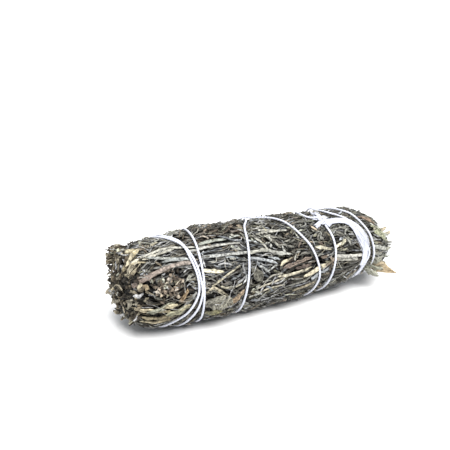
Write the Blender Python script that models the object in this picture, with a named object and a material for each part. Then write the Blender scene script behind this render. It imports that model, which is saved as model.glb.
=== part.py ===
"""Tied bundle of dried sage sprigs, lying on its side.

X runs along the bundle, +Z is up and -Y is the front. The origin is on the surface that the
bundle lies on, under the middle of its box. Lengths are in metres and angles in radians,
except where a name ends in _MM or _DEG.
"""
import math
import random

import bmesh
import bpy
import numpy as np
from mathutils import Vector, kdtree

MM = 0.001

# Outline of the bundle: place along it, radius there, and height of its underside.
OUTLINE_MM = (
    (-50, 10.6, 5.0), (-47, 12.6, 3.2), (-42, 13.9, 1.5), (-34, 15.0, 0.0), (-20, 15.4, 0.0),
    (0, 15.0, 0.0), (12, 14.75, 0.0), (20, 14.05, 0.9), (29, 13.55, 1.5), (34, 12.85, 2.7),
    (38, 11.9, 3.3), (42, 10.9, 3.9), (47, 8.5, 4.4), (50, 6.8, 5.2),
)
FLAT_HEIGHT = 0.35 * MM      # leaves pressed flat underneath lose this much of the outline
FLOOR_SIZE = (140 * MM, 60 * MM, 10 * MM)   # block that cuts off what hangs below them

# Sprigs: two rings of wedges round a middle one, with a gap between neighbours.
OUTER_COUNT = 12
INNER_COUNT = 6
OUTER_RING = 0.60            # inner radius of the outer ring, as a share of the outline
INNER_RING = 0.27
GAP = 0.32 * MM
WAVE = math.radians(3.5)     # how far the line between two sprigs sways
WAVE_LENGTH = 58 * MM
CORE_DEPTH = 2.2 * MM        # twigs and packed leaf under the loose leaves
CORE_UNEVEN = 0.35 * MM
CORE_SECTIONS = 8
CORE_END_SCALE = 0.72        # the core narrows a little at its ends
LEFT_END = -50.0 * MM        # the sprigs' cores end here, on the left and on the right
LOW_STEP = 3.4 * MM          # below its top the left end is cut back by this much
RIGHT_END = 47.5 * MM
RIM_STEP = 2.0 * MM          # and the rim of the right end by this much
END_SPREAD = 1.0 * MM
LEAF_RIDGE = 0.9 * MM        # a folded leaf is this thick at its rib
BLADE = 0.7 * MM             # and a flat one is this thick
LEAF_PROUD = 0.3 * MM        # leaves between two strands may pass the outline by this much

# String: thickness, how deep it sits in the outline, and the room that leaves leave for it.
STRING_RADIUS = 0.4 * MM
STRING_SINK = 0.4 * MM
STRING_CLEARANCE = 0.3 * MM
STRING_ZONE = 2.0 * MM       # leaves nearer than this to the string stay under it
STRING_OVER_FLAT = 0.03 * MM
STRING_SPACING = 1.0 * MM    # between the middles of two strands that cross
STRING_CLIMB = 0.4           # slope at which a strand climbs over another
STRING_APART = 8.0 * MM      # a strand can't cross itself nearer along it than this
STRING_STEP = 0.5 * MM
COARSE_STEP = 4.8 * MM
FINE_STEP = 2.4 * MM

# Route of the string: place along the bundle in mm, and degrees from the top over the front.
# It starts in the knot, winds nine times round, and ends in the knot.
ROUTE = (
    (21, 25), (25, 26.5), (29.2, 30), (30.6, 38), (32.2, 50), (33.6, 64), (34.5, 76),
    (35.6, 87), (35.6, 98), (34.6, 111), (34, 125), (33, 155), (31.8, 190), (30.4, 230),
    (29, 270), (28.6, 310), (29.8, 342),
    (31.8, 362), (33.6, 374), (34.9, 384), (36.4, 399), (38, 415), (38.8, 430), (39.4, 446),
    (39.7, 458), (39.6, 470), (39, 484), (38.2, 505), (36.8, 540), (34.6, 575), (32, 610),
    (28.5, 648), (24.5, 690),
    (20.3, 728), (20.8, 742), (21.5, 756), (22.1, 770), (22.2, 785), (21.9, 800), (21.3, 817),
    (20.8, 833), (20.2, 852), (19.2, 880), (17, 910), (14, 938), (9.8, 966), (5, 998),
    (-0.5, 1040),
    (-4.5, 1076), (-7.4, 1092), (-9.4, 1114), (-10.9, 1136), (-11.9, 1155), (-12.8, 1176),
    (-13.2, 1198), (-13, 1225), (-13.2, 1255), (-15.5, 1300), (-19.5, 1350), (-23.5, 1395),
    (-25.6, 1430), (-26.6, 1462), (-27.3, 1482), (-27.7, 1500), (-27.9, 1516), (-28, 1532),
    (-27.8, 1552), (-27.2, 1576), (-26.8, 1610), (-27.9, 1650), (-30.2, 1700), (-32.8, 1750),
    (-33.9, 1793), (-32.7, 1804), (-31.4, 1814), (-30.5, 1828), (-29.7, 1842), (-29.1, 1858),
    (-28.8, 1875), (-28.8, 1890), (-29.2, 1903), (-30.1, 1915), (-31.4, 1928), (-32.8, 1945),
    (-34.2, 1980), (-35.3, 2030), (-36, 2090),
    (-35.2, 2153), (-33.8, 2164), (-32.4, 2174), (-31.2, 2188), (-30.6, 2202), (-30, 2218),
    (-29.7, 2234), (-29.8, 2247), (-31, 2260), (-32.8, 2272), (-35.2, 2283), (-37.3, 2295),
    (-39.2, 2322), (-39.2, 2350), (-36.8, 2378), (-31, 2408), (-23, 2437), (-13.8, 2465),
    (-5, 2490),
    (2.2, 2508), (4.9, 2519), (6.9, 2530), (8.6, 2545), (10.4, 2561), (12.3, 2576),
    (13.7, 2592), (15, 2612), (15.5, 2626), (15.2, 2640), (14.2, 2660), (13.6, 2690),
    (13.9, 2720), (15.8, 2752), (18.8, 2790), (21.8, 2830), (24.4, 2865),
    (26.6, 2887), (29, 2898), (31, 2908), (32.6, 2920), (34, 2931), (35.1, 2944),
    (35.8, 2956), (36.9, 2966), (36.8, 2978), (35.7, 2990), (35, 3004), (34.4, 3030),
    (33.6, 3060), (32.4, 3088), (30.4, 3115), (26.8, 3145), (22.6, 3178), (18.8, 3210),
    (16.4, 3232), (16.8, 3248), (18.8, 3258), (21, 3265),
)
KNOT_PLACE = (21.0, 25.0)
KNOT_SIZE = (2.3 * MM, 1.7 * MM, 1.2 * MM)
KNOT_RISE = 0.5 * MM
KNOT_TAILS = ((150, 4.2), (215, 3.4), (268, 4.6), (318, 3.0), (60, 3.2))   # degrees, mm
TAIL_SIZE = (1.1 * MM, 0.8 * MM)

# Leaves of one sprig: rows of them lie along it, shingled, and a few stand at each end.
LANES = (-0.62, 0.0, 0.62)
LANE_LEAVES = 7
SIDE_LEAF_LENGTH = (11 * MM, 16 * MM)
SIDE_LEAF_WIDTH = (1.9 * MM, 2.6 * MM)
SIDE_LEAF_SLANT = math.radians(11)
SIDE_LEAF_SHIFTS = (0, 2 * MM, -2 * MM, 4 * MM, -4 * MM)
END_SPOTS = ((-0.6, 0.8), (0.05, 0.55), (0.65, 0.85), (0.0, 0.95), (-0.35, 0.2))
END_LEAF_LENGTH = (4.2 * MM, 6.4 * MM)
END_LEAF_WIDTH = (1.9 * MM, 2.7 * MM)
INNER_END_SPOTS = ((-0.45, 0.7), (0.45, 0.6), (0.0, 0.25))
END_LEAF_ROOT = 2.2 * MM     # it starts this far inside the core

# Broad leaves: sprig, place along it, place across it, length, width and way it points.
BROAD_LEAF_SECTIONS = ((-0.5, 0.25), (-0.25, 0.8), (0.0, 1.0), (0.25, 0.8), (0.5, 0.2))
REST_LEAF = (7, 0.0, 0.0, 17 * MM, 6.4 * MM)
OLIVE_LEAF = (5, -20 * MM, -0.1, 9 * MM, 5.0 * MM)
TAN_LEAF = (4, 45 * MM, 0.35, 15 * MM, 3.6 * MM)


def outline(x):
    """Radius of the bundle and height of its middle line at x."""
    places = [row[0] * MM for row in OUTLINE_MM]
    radius = np.interp(x, places, [row[1] * MM for row in OUTLINE_MM])
    lift = np.interp(x, places, [row[2] * MM for row in OUTLINE_MM])
    return radius, radius + lift


def on_bundle(x, angle, radius):
    """Point at x, turned by angle from the top over the front, at a radius."""
    _, middle = outline(x)
    return Vector((x, -radius * math.sin(angle), middle + radius * math.cos(angle)))


def string_radius_at(x, angle):
    """Radius at which the middle of the string runs, flattened where the bundle rests."""
    radius, middle = outline(x)
    reach = radius - STRING_SINK
    down = -math.cos(angle)
    if down > 0:
        lowest = FLAT_HEIGHT + STRING_RADIUS + STRING_OVER_FLAT
        reach = min(reach, (middle - lowest) / down)
    return reach


def smooth_route():
    """Places on a smooth curve through the route's points, as rows of x and angle."""
    mean_radius = outline(0)[0]
    flat = np.array([(x * MM, math.radians(turn) * mean_radius) for x, turn in ROUTE])
    lengths = np.linalg.norm(np.diff(flat, axis=0), axis=1)
    along = np.concatenate(([0.0], np.cumsum(lengths)))
    slope = np.gradient(flat, along, axis=0)
    wanted = np.linspace(0, along[-1], int(along[-1] / STRING_STEP) + 1)
    piece = np.clip(np.searchsorted(along, wanted, side="right") - 1, 0, len(along) - 2)
    span = (along[piece + 1] - along[piece])[:, None]
    t = (wanted[:, None] - along[piece][:, None]) / span
    start = (2 * t**3 - 3 * t**2 + 1) * flat[piece]
    end = (3 * t**2 - 2 * t**3) * flat[piece + 1]
    leave = (t**3 - 2 * t**2 + t) * span * slope[piece]
    arrive = (t**3 - t**2) * span * slope[piece + 1]
    smooth = start + end + leave + arrive
    smooth[:, 1] /= mean_radius
    return smooth


def string_line():
    """Points along the middle of the string, and how far each is lifted over a strand."""
    places = smooth_route()
    apart = int(STRING_APART / STRING_STEP)
    climb = STRING_CLIMB * STRING_STEP
    base = np.array([string_radius_at(x, angle) for x, angle in places])
    girth = np.array([outline(x)[0] for x in places[:, 0]])
    wrapped = np.column_stack((
        places[:, 0], girth * np.cos(places[:, 1]), girth * np.sin(places[:, 1])))
    lift = np.zeros(len(places))
    for _ in range(2):
        for i in range(apart, len(places)):
            gap = np.linalg.norm(wrapped[:i - apart] - wrapped[i], axis=1)
            near = np.nonzero(gap < STRING_SPACING)[0]
            if len(near):
                over = np.sqrt(STRING_SPACING**2 - gap[near]**2)
                needed = np.max(base[near] + lift[near] + over)
                lift[i] = max(lift[i], needed - base[i])
        for i in range(1, len(lift)):
            lift[i] = max(lift[i], lift[i - 1] - climb)
        for i in range(len(lift) - 2, -1, -1):
            lift[i] = max(lift[i], lift[i + 1] - climb)
    points = [on_bundle(x, angle, base[i] + lift[i]) for i, (x, angle) in enumerate(places)]
    return points, lift


def thinned(points, lift):
    """Every few points of the string, closer together where it climbs over a strand."""
    kept = [points[0]]
    since = 0.0
    for point, height in zip(points[1:], lift[1:]):
        since += STRING_STEP
        if since >= (FINE_STEP if height > 0 else COARSE_STEP):
            kept.append(point)
            since = 0.0
    if since > FINE_STEP:
        kept.append(points[-1])
    return kept


class StringMap:
    """Answers how far out a leaf may reach before it touches the string."""

    def __init__(self, points):
        self.tree = kdtree.KDTree(len(points))
        for index, point in enumerate(points):
            self.tree.insert(point, index)
        self.tree.balance()

    def limit(self, x, angle):
        radius, _ = outline(x)
        _, _, distance = self.tree.find(on_bundle(x, angle, string_radius_at(x, angle)))
        if distance < STRING_ZONE:
            return string_radius_at(x, angle) - STRING_RADIUS - STRING_CLEARANCE
        return radius + LEAF_PROUD


class Wedge:
    """Share of the bundle that one sprig fills; across runs from -1 to 1 over its width."""

    def __init__(self, count, index, inner, outer):
        self.count = count
        self.index = index
        self.inner = inner
        self.outer = outer

    def side(self, step, x):
        """Angle of the line between this sprig and the one before or after it."""
        turn = 2 * math.pi / self.count
        number = (self.index + step) % self.count
        sway = WAVE * math.sin(2 * math.pi * x / WAVE_LENGTH + 2.4 * number)
        sway += WAVE / 3 * math.sin(5 * math.pi * x / WAVE_LENGTH + 1.7 * number)
        return (self.index + step - 0.5) * turn + sway

    def angle(self, x, across, radius):
        low = self.side(0, x)
        high = self.side(1, x)
        room = (high - low) / 2 - GAP / 2 / radius
        return (low + high) / 2 + across * room

    def half_width(self, x, radius):
        return radius * (self.side(1, x) - self.side(0, x)) / 2 - GAP / 2

    def inner_radius(self, x):
        return self.inner * outline(x)[0] + GAP / 2

    def core_radius(self, x):
        if self.outer == 1:
            return outline(x)[0] - CORE_DEPTH
        return self.outer * outline(x)[0] - 2 * GAP


def left_end(angle, share):
    """Where the sprigs end on the left: the top ones reach out over the others."""
    return LEFT_END + LOW_STEP * (1 - share * max(0.0, math.cos(angle)))


def new_object(name, form, collection):
    """Object from a closed bmesh, with its faces turned outwards."""
    bmesh.ops.recalc_face_normals(form, faces=form.faces)
    mesh = bpy.data.meshes.new(name)
    form.to_mesh(mesh)
    form.free()
    made = bpy.data.objects.new(name, mesh)
    collection.objects.link(made)
    return made


def loft(name, rings, collection, tips=()):
    """Closed solid through rings of points, with flat ends or with a point at each end."""
    form = bmesh.new()
    rows = [[form.verts.new(point) for point in ring] for ring in rings]
    for near, far in zip(rows, rows[1:]):
        for i in range(len(near)):
            j = (i + 1) % len(near)
            form.faces.new((near[i], near[j], far[j]))
            form.faces.new((near[i], far[j], far[i]))
    if not tips:
        form.faces.new(rows[0])
        form.faces.new(rows[-1])
    for tip, row in zip(tips, (rows[0], rows[-1])):
        point = form.verts.new(tip)
        for i in range(len(row)):
            form.faces.new((row[i], row[(i + 1) % len(row)], point))
    return new_object(name, form, collection)


def outward(point):
    """Direction away from the middle line of the bundle."""
    _, middle = outline(point.x)
    return Vector((0, point.y, point.z - middle)).normalized()


def needle(points, width, ridge, collection, name="leaf"):
    """Folded narrow leaf: three sides, widest in the middle and pointed at both ends."""
    root, middle, tip = points
    along = (tip - root).normalized()
    side = along.cross(outward(middle)).normalized()
    up = side.cross(along)
    half = side * width / 2
    ring = (middle - half, middle + half, middle + up * ridge)
    return loft(name, [ring], collection, tips=(root, tip + up * ridge * 0.4))


def core_rings(wedge, ends, rng):
    """Sections of the packed twigs under a sprig's leaves, from its left end to its right."""
    rings = []
    last = CORE_SECTIONS - 1
    for i in range(CORE_SECTIONS):
        x = ends[0] + (ends[1] - ends[0]) * i / last
        out = wedge.core_radius(x)
        if wedge.count == 1:
            ring = [on_bundle(x, math.radians(60 * k + 30), out) for k in range(6)]
        else:
            if wedge.outer == 1:
                out -= rng.uniform(0, CORE_UNEVEN)
            inner = wedge.inner_radius(x)
            spots = ((-1, out), (-0.35, out), (0.35, out), (1, out), (1, inner), (-1, inner))
            ring = [on_bundle(x, wedge.angle(x, u, r), r) for u, r in spots]
        if i in (0, last):
            middle = sum(ring, Vector()) / len(ring)
            ring = [middle + (point - middle) * CORE_END_SCALE for point in ring]
        rings.append(ring)
    return rings


def side_leaf(wedge, lane, way, spot, ends, rng, strings):
    """Points and width of a leaf that lies along the sprig, or None where none fits."""
    width = rng.uniform(*SIDE_LEAF_WIDTH)
    length = rng.uniform(*SIDE_LEAF_LENGTH)
    slant = rng.uniform(-1, 1) * SIDE_LEAF_SLANT
    across = lane + rng.uniform(-0.12, 0.12)
    heights = (-1.2 * MM, rng.uniform(0.6, 1.3) * MM, rng.uniform(1.2, 2.2) * MM)
    start = ends[0] + (ends[1] - ends[0]) * spot - way * length / 2
    for drop in range(8):
        for shift in SIDE_LEAF_SHIFTS:
            x = min(max(start + shift, ends[0] + 2 * MM), ends[1] - 2 * MM)
            if not ends[0] - 4 * MM < x + way * length < ends[1] + 4 * MM:
                continue
            points = []
            for share, height in zip((0, 0.45, 1), heights):
                place = x + way * length * math.cos(slant) * share
                radius = wedge.core_radius(place) + height - drop * share * 0.35 * MM
                half = wedge.half_width(place, radius)
                room = max(0.0, 1 - (width / 2 + 0.1 * MM) / half)
                aside = across * room + length * math.sin(slant) * share / half
                angle = wedge.angle(place, min(max(aside, -room), room), radius)
                points.append(on_bundle(place, angle, radius))
            if clears_string(points, strings):
                return points, width
    return None


def clears_string(points, strings):
    """Whether a leaf's rib stays under the string and inside the outline all along."""
    for low, high in zip(points, points[1:]):
        for step in range(7):
            point = low.lerp(high, step / 6)
            _, middle = outline(point.x)
            up = point.z - middle
            if math.hypot(point.y, up) + LEAF_RIDGE > strings.limit(
                    point.x, math.atan2(-point.y, up)):
                return False
    return True


def end_leaf(wedge, way, end, spot, rng):
    """Points of a leaf that stands out of a sprig's end."""
    across, share = spot
    length = rng.uniform(*END_LEAF_LENGTH)
    drift = rng.uniform(-0.35, 0.35)
    points = []
    for step in (0, 0.55, 1):
        x = end + way * (length * step - END_LEAF_ROOT)
        inner = wedge.inner_radius(x) + 0.5 * MM
        outer = wedge.core_radius(x) - (1.1 * MM if wedge.outer < 1 else 0)
        radius = inner + (outer - inner) * share
        half = max(wedge.half_width(x, radius), 0.1 * MM)
        room = max(0.0, 1 - 1.0 * MM / half)
        shift = min(max(across * room + drift * step, -room), room)
        points.append(on_bundle(x, wedge.angle(x, shift, radius), radius))
    return points


def broad_leaf(wedge, place, across, length, width, collection, pressed=False):
    """Flat leaf on a sprig, rooted in the core by the keel under it; pressed ones lie level."""
    rings = []
    for share, spread in BROAD_LEAF_SECTIONS:
        x = place + length * share
        radius = wedge.core_radius(x) + LEAF_RIDGE
        middle = on_bundle(x, wedge.angle(x, across, radius), radius)
        up = outward(middle)
        side = Vector((1, 0, 0)).cross(up).normalized() * width * spread / 2
        keel = middle - up * (LEAF_RIDGE + BLADE)
        top = [middle - side, middle + up * 0.3 * MM, middle + side]
        if pressed:
            top = [Vector((point.x, point.y, FLAT_HEIGHT)) for point in top]
        rings.append((*top, top[2] - up * BLADE, keel, top[0] - up * BLADE))
    loft("broad leaf", rings, collection)


def keep_main_body(mesh):
    """Drop the loose scraps and sealed hollows that joining can leave, and split the faces."""
    form = bmesh.new()
    form.from_mesh(mesh)
    waiting = set(form.verts)
    bodies = []
    while waiting:
        body = {waiting.pop()}
        front = list(body)
        while front:
            vert = front.pop()
            for edge in vert.link_edges:
                other = edge.other_vert(vert)
                if other in waiting:
                    waiting.remove(other)
                    body.add(other)
                    front.append(other)
        bodies.append(body)
    main = max(bodies, key=lambda body: max(v.co.x for v in body) - min(v.co.x for v in body))
    bmesh.ops.delete(form, geom=[v for v in form.verts if v not in main], context="VERTS")
    bmesh.ops.triangulate(form, faces=form.faces)
    form.to_mesh(mesh)
    form.free()


def fuse(base, loose, collection, floor=None):
    """Join a collection of pieces to the base in one Boolean union, then remove them."""
    join = base.modifiers.new("Join", "BOOLEAN")
    join.operation = "UNION"
    join.operand_type = "COLLECTION"
    join.collection = loose
    join.solver = "MANIFOLD"
    if floor:
        trim = base.modifiers.new("Press flat", "BOOLEAN")
        trim.operation = "DIFFERENCE"
        trim.object = floor
        trim.solver = "MANIFOLD"
    graph = bpy.context.evaluated_depsgraph_get()
    mesh = bpy.data.meshes.new_from_object(base.evaluated_get(graph))
    keep_main_body(mesh)
    joined = bpy.data.objects.new(base.name + "_joined", mesh)
    collection.objects.link(joined)
    name = base.name
    for piece in list(loose.objects):
        bpy.data.objects.remove(piece)
    bpy.data.objects.remove(base)
    joined.name = name
    mesh.name = name
    return joined


def material(name, colour, roughness):
    """Principled material in one linear colour."""
    made = bpy.data.materials.new(name)
    made.use_nodes = True
    shader = made.node_tree.nodes["Principled BSDF"]
    shader.inputs["Base Color"].default_value = (*colour, 1)
    shader.inputs["Roughness"].default_value = roughness
    shader.inputs["Metallic"].default_value = 0
    made.diffuse_color = (*colour, 1)
    return made


def make_sprig(name, wedge, number, parts, loose, floor, strings):
    """One dried sprig: a core of twigs and packed leaf, with separate leaves standing out."""
    rng = random.Random(1200 + number)
    turn = 2 * math.pi * wedge.index / wedge.count
    ends = (left_end(turn, wedge.outer) + rng.uniform(-1, 1) * END_SPREAD,
            RIGHT_END - RIM_STEP * wedge.outer + rng.uniform(-1, 1) * END_SPREAD)
    core = loft(name, core_rings(wedge, ends, rng), parts)
    on_rim = wedge.outer == 1
    for lane in LANES if on_rim else ():
        way = rng.choice((-1, 1))
        start = rng.random()
        for i in range(LANE_LEAVES):
            spot = (i + start) / LANE_LEAVES
            leaf = side_leaf(wedge, lane, way, spot, ends, rng, strings)
            if leaf:
                needle(*leaf, LEAF_RIDGE, loose)
    for way, end in ((-1, ends[0]), (1, ends[1])):
        for spot in END_SPOTS if on_rim else INNER_END_SPOTS:
            points = end_leaf(wedge, way, end, spot, rng)
            needle(points, rng.uniform(*END_LEAF_WIDTH), LEAF_RIDGE, loose)
    for sprig, place, across, length, width in (OLIVE_LEAF, TAN_LEAF, REST_LEAF):
        if on_rim and sprig == number:
            pressed = (sprig, place) == REST_LEAF[:2]
            broad_leaf(wedge, place, across, length, width, loose, pressed)
    return fuse(core, loose, parts, floor if on_rim else None)


def make_string(parts, loose, points, lift):
    """The one length of string, with its knot and the frayed ends that stand out of it."""
    curve = bpy.data.curves.new("binding_string", "CURVE")
    curve.dimensions = "3D"
    curve.bevel_depth = STRING_RADIUS
    curve.bevel_resolution = 1
    curve.use_fill_caps = True
    line = thinned(points, lift)
    spline = curve.splines.new("POLY")
    spline.points.add(len(line) - 1)
    for spot, point in zip(spline.points, line):
        spot.co = (*point, 1)
    guide = bpy.data.objects.new("string guide", curve)
    parts.objects.link(guide)
    graph = bpy.context.evaluated_depsgraph_get()
    mesh = bpy.data.meshes.new_from_object(guide.evaluated_get(graph))
    bpy.data.objects.remove(guide)
    form = bmesh.new()
    form.from_mesh(mesh)
    bmesh.ops.remove_doubles(form, verts=form.verts, dist=0.001 * MM)
    bmesh.ops.recalc_face_normals(form, faces=form.faces)
    form.to_mesh(mesh)
    form.free()
    tube = bpy.data.objects.new("binding_string", mesh)
    parts.objects.link(tube)

    x, turn = KNOT_PLACE[0] * MM, math.radians(KNOT_PLACE[1])
    centre = on_bundle(x, turn, string_radius_at(x, turn) + KNOT_RISE)
    up = outward(centre)
    forward = Vector((1, 0, 0))
    side = up.cross(forward)
    knot = bmesh.new()
    bmesh.ops.create_icosphere(knot, subdivisions=1, radius=1)
    for vert in knot.verts:
        vert.co = (centre + forward * vert.co.x * KNOT_SIZE[0]
                   + side * vert.co.y * KNOT_SIZE[1] + up * vert.co.z * KNOT_SIZE[2])
    new_object("knot", knot, loose)
    for degrees, length in KNOT_TAILS:
        way = forward * math.cos(math.radians(degrees)) - side * math.sin(math.radians(degrees))
        points = [centre + way * length * share * MM + up * (0.2 - 0.5 * share) * MM
                  for share in (0, 0.5, 1)]
        needle(points, *TAIL_SIZE, loose, "tail")
    return fuse(tube, loose, parts)


def build():
    for item in list(bpy.data.objects):
        bpy.data.objects.remove(item)
    parts = bpy.data.collections.new("sage_bunch")
    cutters = bpy.data.collections.new("cutters")
    loose = bpy.data.collections.new("loose_leaves")
    for group in (parts, cutters, loose):
        bpy.context.scene.collection.children.link(group)

    bpy.ops.mesh.primitive_cube_add(size=1, location=(0, 0, FLAT_HEIGHT - FLOOR_SIZE[2] / 2))
    floor = bpy.context.object
    floor.name = "floor_cutter"
    floor.dimensions = FLOOR_SIZE
    floor.hide_render = True
    floor.display_type = "WIRE"
    for group in list(floor.users_collection):
        group.objects.unlink(floor)
    cutters.objects.link(floor)

    points, lift = string_line()
    strings = StringMap(points)
    greens = (
        material("sage grey", (0.27, 0.26, 0.19), 0.9),
        material("sage olive", (0.22, 0.21, 0.12), 0.9),
        material("sage pale", (0.38, 0.37, 0.29), 0.9),
    )
    cotton = material("white cotton", (0.86, 0.86, 0.88), 0.8)

    made = []
    for i in range(OUTER_COUNT):
        wedge = Wedge(OUTER_COUNT, i, OUTER_RING, 1)
        name = f"outer_sprig_{i + 1:02d}"
        made.append(make_sprig(name, wedge, i + 1, parts, loose, floor, strings))
    for i in range(INNER_COUNT):
        wedge = Wedge(INNER_COUNT, i, INNER_RING, OUTER_RING)
        made.append(make_sprig(f"inner_sprig_{i + 1}", wedge, 50 + i, parts, loose, floor, strings))
    wedge = Wedge(1, 0, 0, INNER_RING)
    made.append(make_sprig("centre_sprig", wedge, 90, parts, loose, floor, strings))
    for i, sprig in enumerate(made):
        sprig.data.materials.append(greens[i % len(greens)])
    string = make_string(parts, loose, points, lift)
    string.data.materials.append(cotton)
    made.append(string)
    bpy.data.collections.remove(loose)

    corners = [item.matrix_world @ vert.co for item in made for vert in item.data.vertices]
    low = [min(corner[axis] for corner in corners) for axis in range(3)]
    high = [max(corner[axis] for corner in corners) for axis in range(3)]
    origin = bpy.data.objects.new("bundle_origin", None)
    parts.objects.link(origin)
    origin.location = (-(low[0] + high[0]) / 2, -(low[1] + high[1]) / 2, -low[2])
    for item in made:
        item.parent = origin


build()
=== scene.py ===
"""Tied bundle of dried sage: fine leaves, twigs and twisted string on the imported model.

Lengths are in metres and angles in radians. The tables and leaf styles are in millimetres and
degrees, and turns round the bundle are counted from its top over its front.
The bundle is first laid out in its own frame, the one of its outline and string, and every
finished point is then moved by BUNDLE_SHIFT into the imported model's frame.
"""
import math

import bpy
import numpy as np
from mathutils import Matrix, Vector, kdtree


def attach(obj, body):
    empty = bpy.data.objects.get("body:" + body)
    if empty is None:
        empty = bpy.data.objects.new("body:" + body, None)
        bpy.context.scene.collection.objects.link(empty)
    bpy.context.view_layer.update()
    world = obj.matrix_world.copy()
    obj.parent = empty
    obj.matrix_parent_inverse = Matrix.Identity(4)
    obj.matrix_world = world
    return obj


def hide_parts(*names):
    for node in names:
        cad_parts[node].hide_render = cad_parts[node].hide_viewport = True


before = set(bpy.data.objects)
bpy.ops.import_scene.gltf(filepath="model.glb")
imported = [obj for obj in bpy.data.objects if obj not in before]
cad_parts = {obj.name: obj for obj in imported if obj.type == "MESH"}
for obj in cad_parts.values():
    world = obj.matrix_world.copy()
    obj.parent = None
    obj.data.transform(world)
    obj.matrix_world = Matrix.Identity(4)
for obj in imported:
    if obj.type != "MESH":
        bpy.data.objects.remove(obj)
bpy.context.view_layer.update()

MM = 0.001
BUNDLE_SHIFT = np.array((0.907, -0.042, -0.35)) * MM

# Outline: place along the bundle, radius there, height of its underside. Both ends round off.
OUTLINE_MM = (
    (-51, 3.0, 12.6), (-50.7, 5.4, 10.2), (-50, 8.0, 7.6), (-48.8, 10.2, 5.5), (-47, 12.0, 3.8),
    (-44.5, 13.2, 2.5), (-42, 13.9, 1.5), (-34, 15.0, 0.0), (-20, 15.4, 0.0), (0, 15.0, 0.0),
    (12, 14.75, 0.0), (20, 14.05, 0.9), (29, 13.55, 1.5), (34, 12.85, 2.7), (38, 11.9, 3.3),
    (42, 10.9, 3.9), (46, 9.1, 4.4), (48.6, 7.4, 5.2), (50.2, 5.2, 6.8), (50.8, 3.0, 8.8),
)
FLAT_HEIGHT = 0.35 * MM
HIGHEST = 31.1 * MM
OUTER_COUNT = 12
INNER_COUNT = 6

# String: thickness, how deep it sits in the outline, and how strands pass over each other.
STRING_RADIUS = 0.4 * MM
STRING_SINK = 0.4 * MM
STRING_OVER_FLAT = 0.03 * MM
STRING_SPACING = 0.9 * MM
STRING_CLIMB = 0.4
STRING_STEP = 0.3 * MM
STRING_APART = 8 * MM        # parts of the string nearer than this along it don't cross
PLY_PITCH = 2.8 * MM
PLY_OFFSET = 0.16 * MM
PLY_RADIUS = 0.22 * MM
FIBRE_RADIUS = 0.07 * MM
FUZZ_RADIUS = 0.012 * MM
FUZZ_COUNT = 700

# The string's route: place along the bundle, turn round it.
ROUTE = (
    (21, 25), (25, 26.5), (29.2, 30), (30.6, 38), (32.2, 50), (33.6, 64), (34.5, 76),
    (35.6, 87), (35.6, 98), (34.6, 111), (34, 125), (33, 155), (31.8, 190), (30.4, 230),
    (29, 270), (28.6, 310), (29.8, 342),
    (31.8, 362), (33.6, 374), (34.9, 384), (36.4, 399), (38, 415), (38.8, 430), (39.4, 446),
    (39.7, 458), (39.6, 470), (39, 484), (38.2, 505), (36.8, 540), (34.6, 575), (32, 610),
    (28.5, 648), (24.5, 690),
    (20.3, 728), (20.8, 742), (21.5, 756), (22.1, 770), (22.2, 785), (21.9, 800), (21.3, 817),
    (20.8, 833), (20.2, 852), (19.2, 880), (17, 910), (14, 938), (9.8, 966), (5, 998),
    (-0.5, 1040),
    (-4.5, 1076), (-7.4, 1092), (-9.4, 1114), (-10.9, 1136), (-11.9, 1155), (-12.8, 1176),
    (-13.2, 1198), (-13, 1225), (-13.2, 1255), (-15.5, 1300), (-19.5, 1350), (-23.5, 1395),
    (-25.6, 1430), (-26.6, 1462), (-27.3, 1482), (-27.7, 1500), (-27.9, 1516), (-28, 1532),
    (-27.8, 1552), (-27.2, 1576), (-26.8, 1610), (-27.9, 1650), (-30.2, 1700), (-32.8, 1750),
    (-33.9, 1793), (-32.7, 1804), (-31.4, 1814), (-30.5, 1828), (-29.7, 1842), (-29.1, 1858),
    (-28.8, 1875), (-28.8, 1890), (-29.2, 1903), (-30.1, 1915), (-31.4, 1928), (-32.8, 1945),
    (-34.2, 1980), (-35.3, 2030), (-36, 2090),
    (-35.2, 2153), (-33.8, 2164), (-32.4, 2174), (-31.2, 2188), (-30.6, 2202), (-30, 2218),
    (-29.7, 2234), (-29.8, 2247), (-31, 2260), (-32.8, 2272), (-35.2, 2283), (-37.3, 2295),
    (-39.2, 2322), (-39.2, 2350), (-36.8, 2378), (-31, 2408), (-23, 2437), (-13.8, 2465),
    (-5, 2490),
    (2.2, 2508), (4.9, 2519), (6.9, 2530), (8.6, 2545), (10.4, 2561), (12.3, 2576),
    (13.7, 2592), (15, 2612), (15.5, 2626), (15.2, 2640), (14.2, 2660), (13.6, 2690),
    (13.9, 2720), (15.8, 2752), (18.8, 2790), (21.8, 2830), (24.4, 2865),
    (26.6, 2887), (29, 2898), (31, 2908), (32.6, 2920), (34, 2931), (35.1, 2944),
    (35.8, 2956), (36.9, 2966), (36.8, 2978), (35.7, 2990), (35, 3004), (34.4, 3030),
    (33.6, 3060), (32.4, 3088), (30.4, 3115), (26.8, 3145), (22.6, 3178), (18.8, 3210),
    (16.4, 3232), (16.8, 3248), (18.8, 3258), (21, 3265),
)
KNOT_PLACE = (21.0, 25.0)
KNOT_LIFT = 0.75 * MM
KNOT_REACH = 1.6 * MM
KNOT_TAILS = ((150, 4.2), (215, 3.4), (268, 4.6), (318, 3.0), (60, 3.2))   # degrees, mm
# Route of the band of loose fibres that lies beside the string, down the front from the knot.
BAND = ((21, 26), (23.5, 28.5), (26.5, 29), (29.2, 31.5), (31, 37), (32.3, 46), (33.2, 56),
        (33.9, 66), (34.4, 76), (34.6, 86), (34.2, 97), (33.2, 108))

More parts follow.
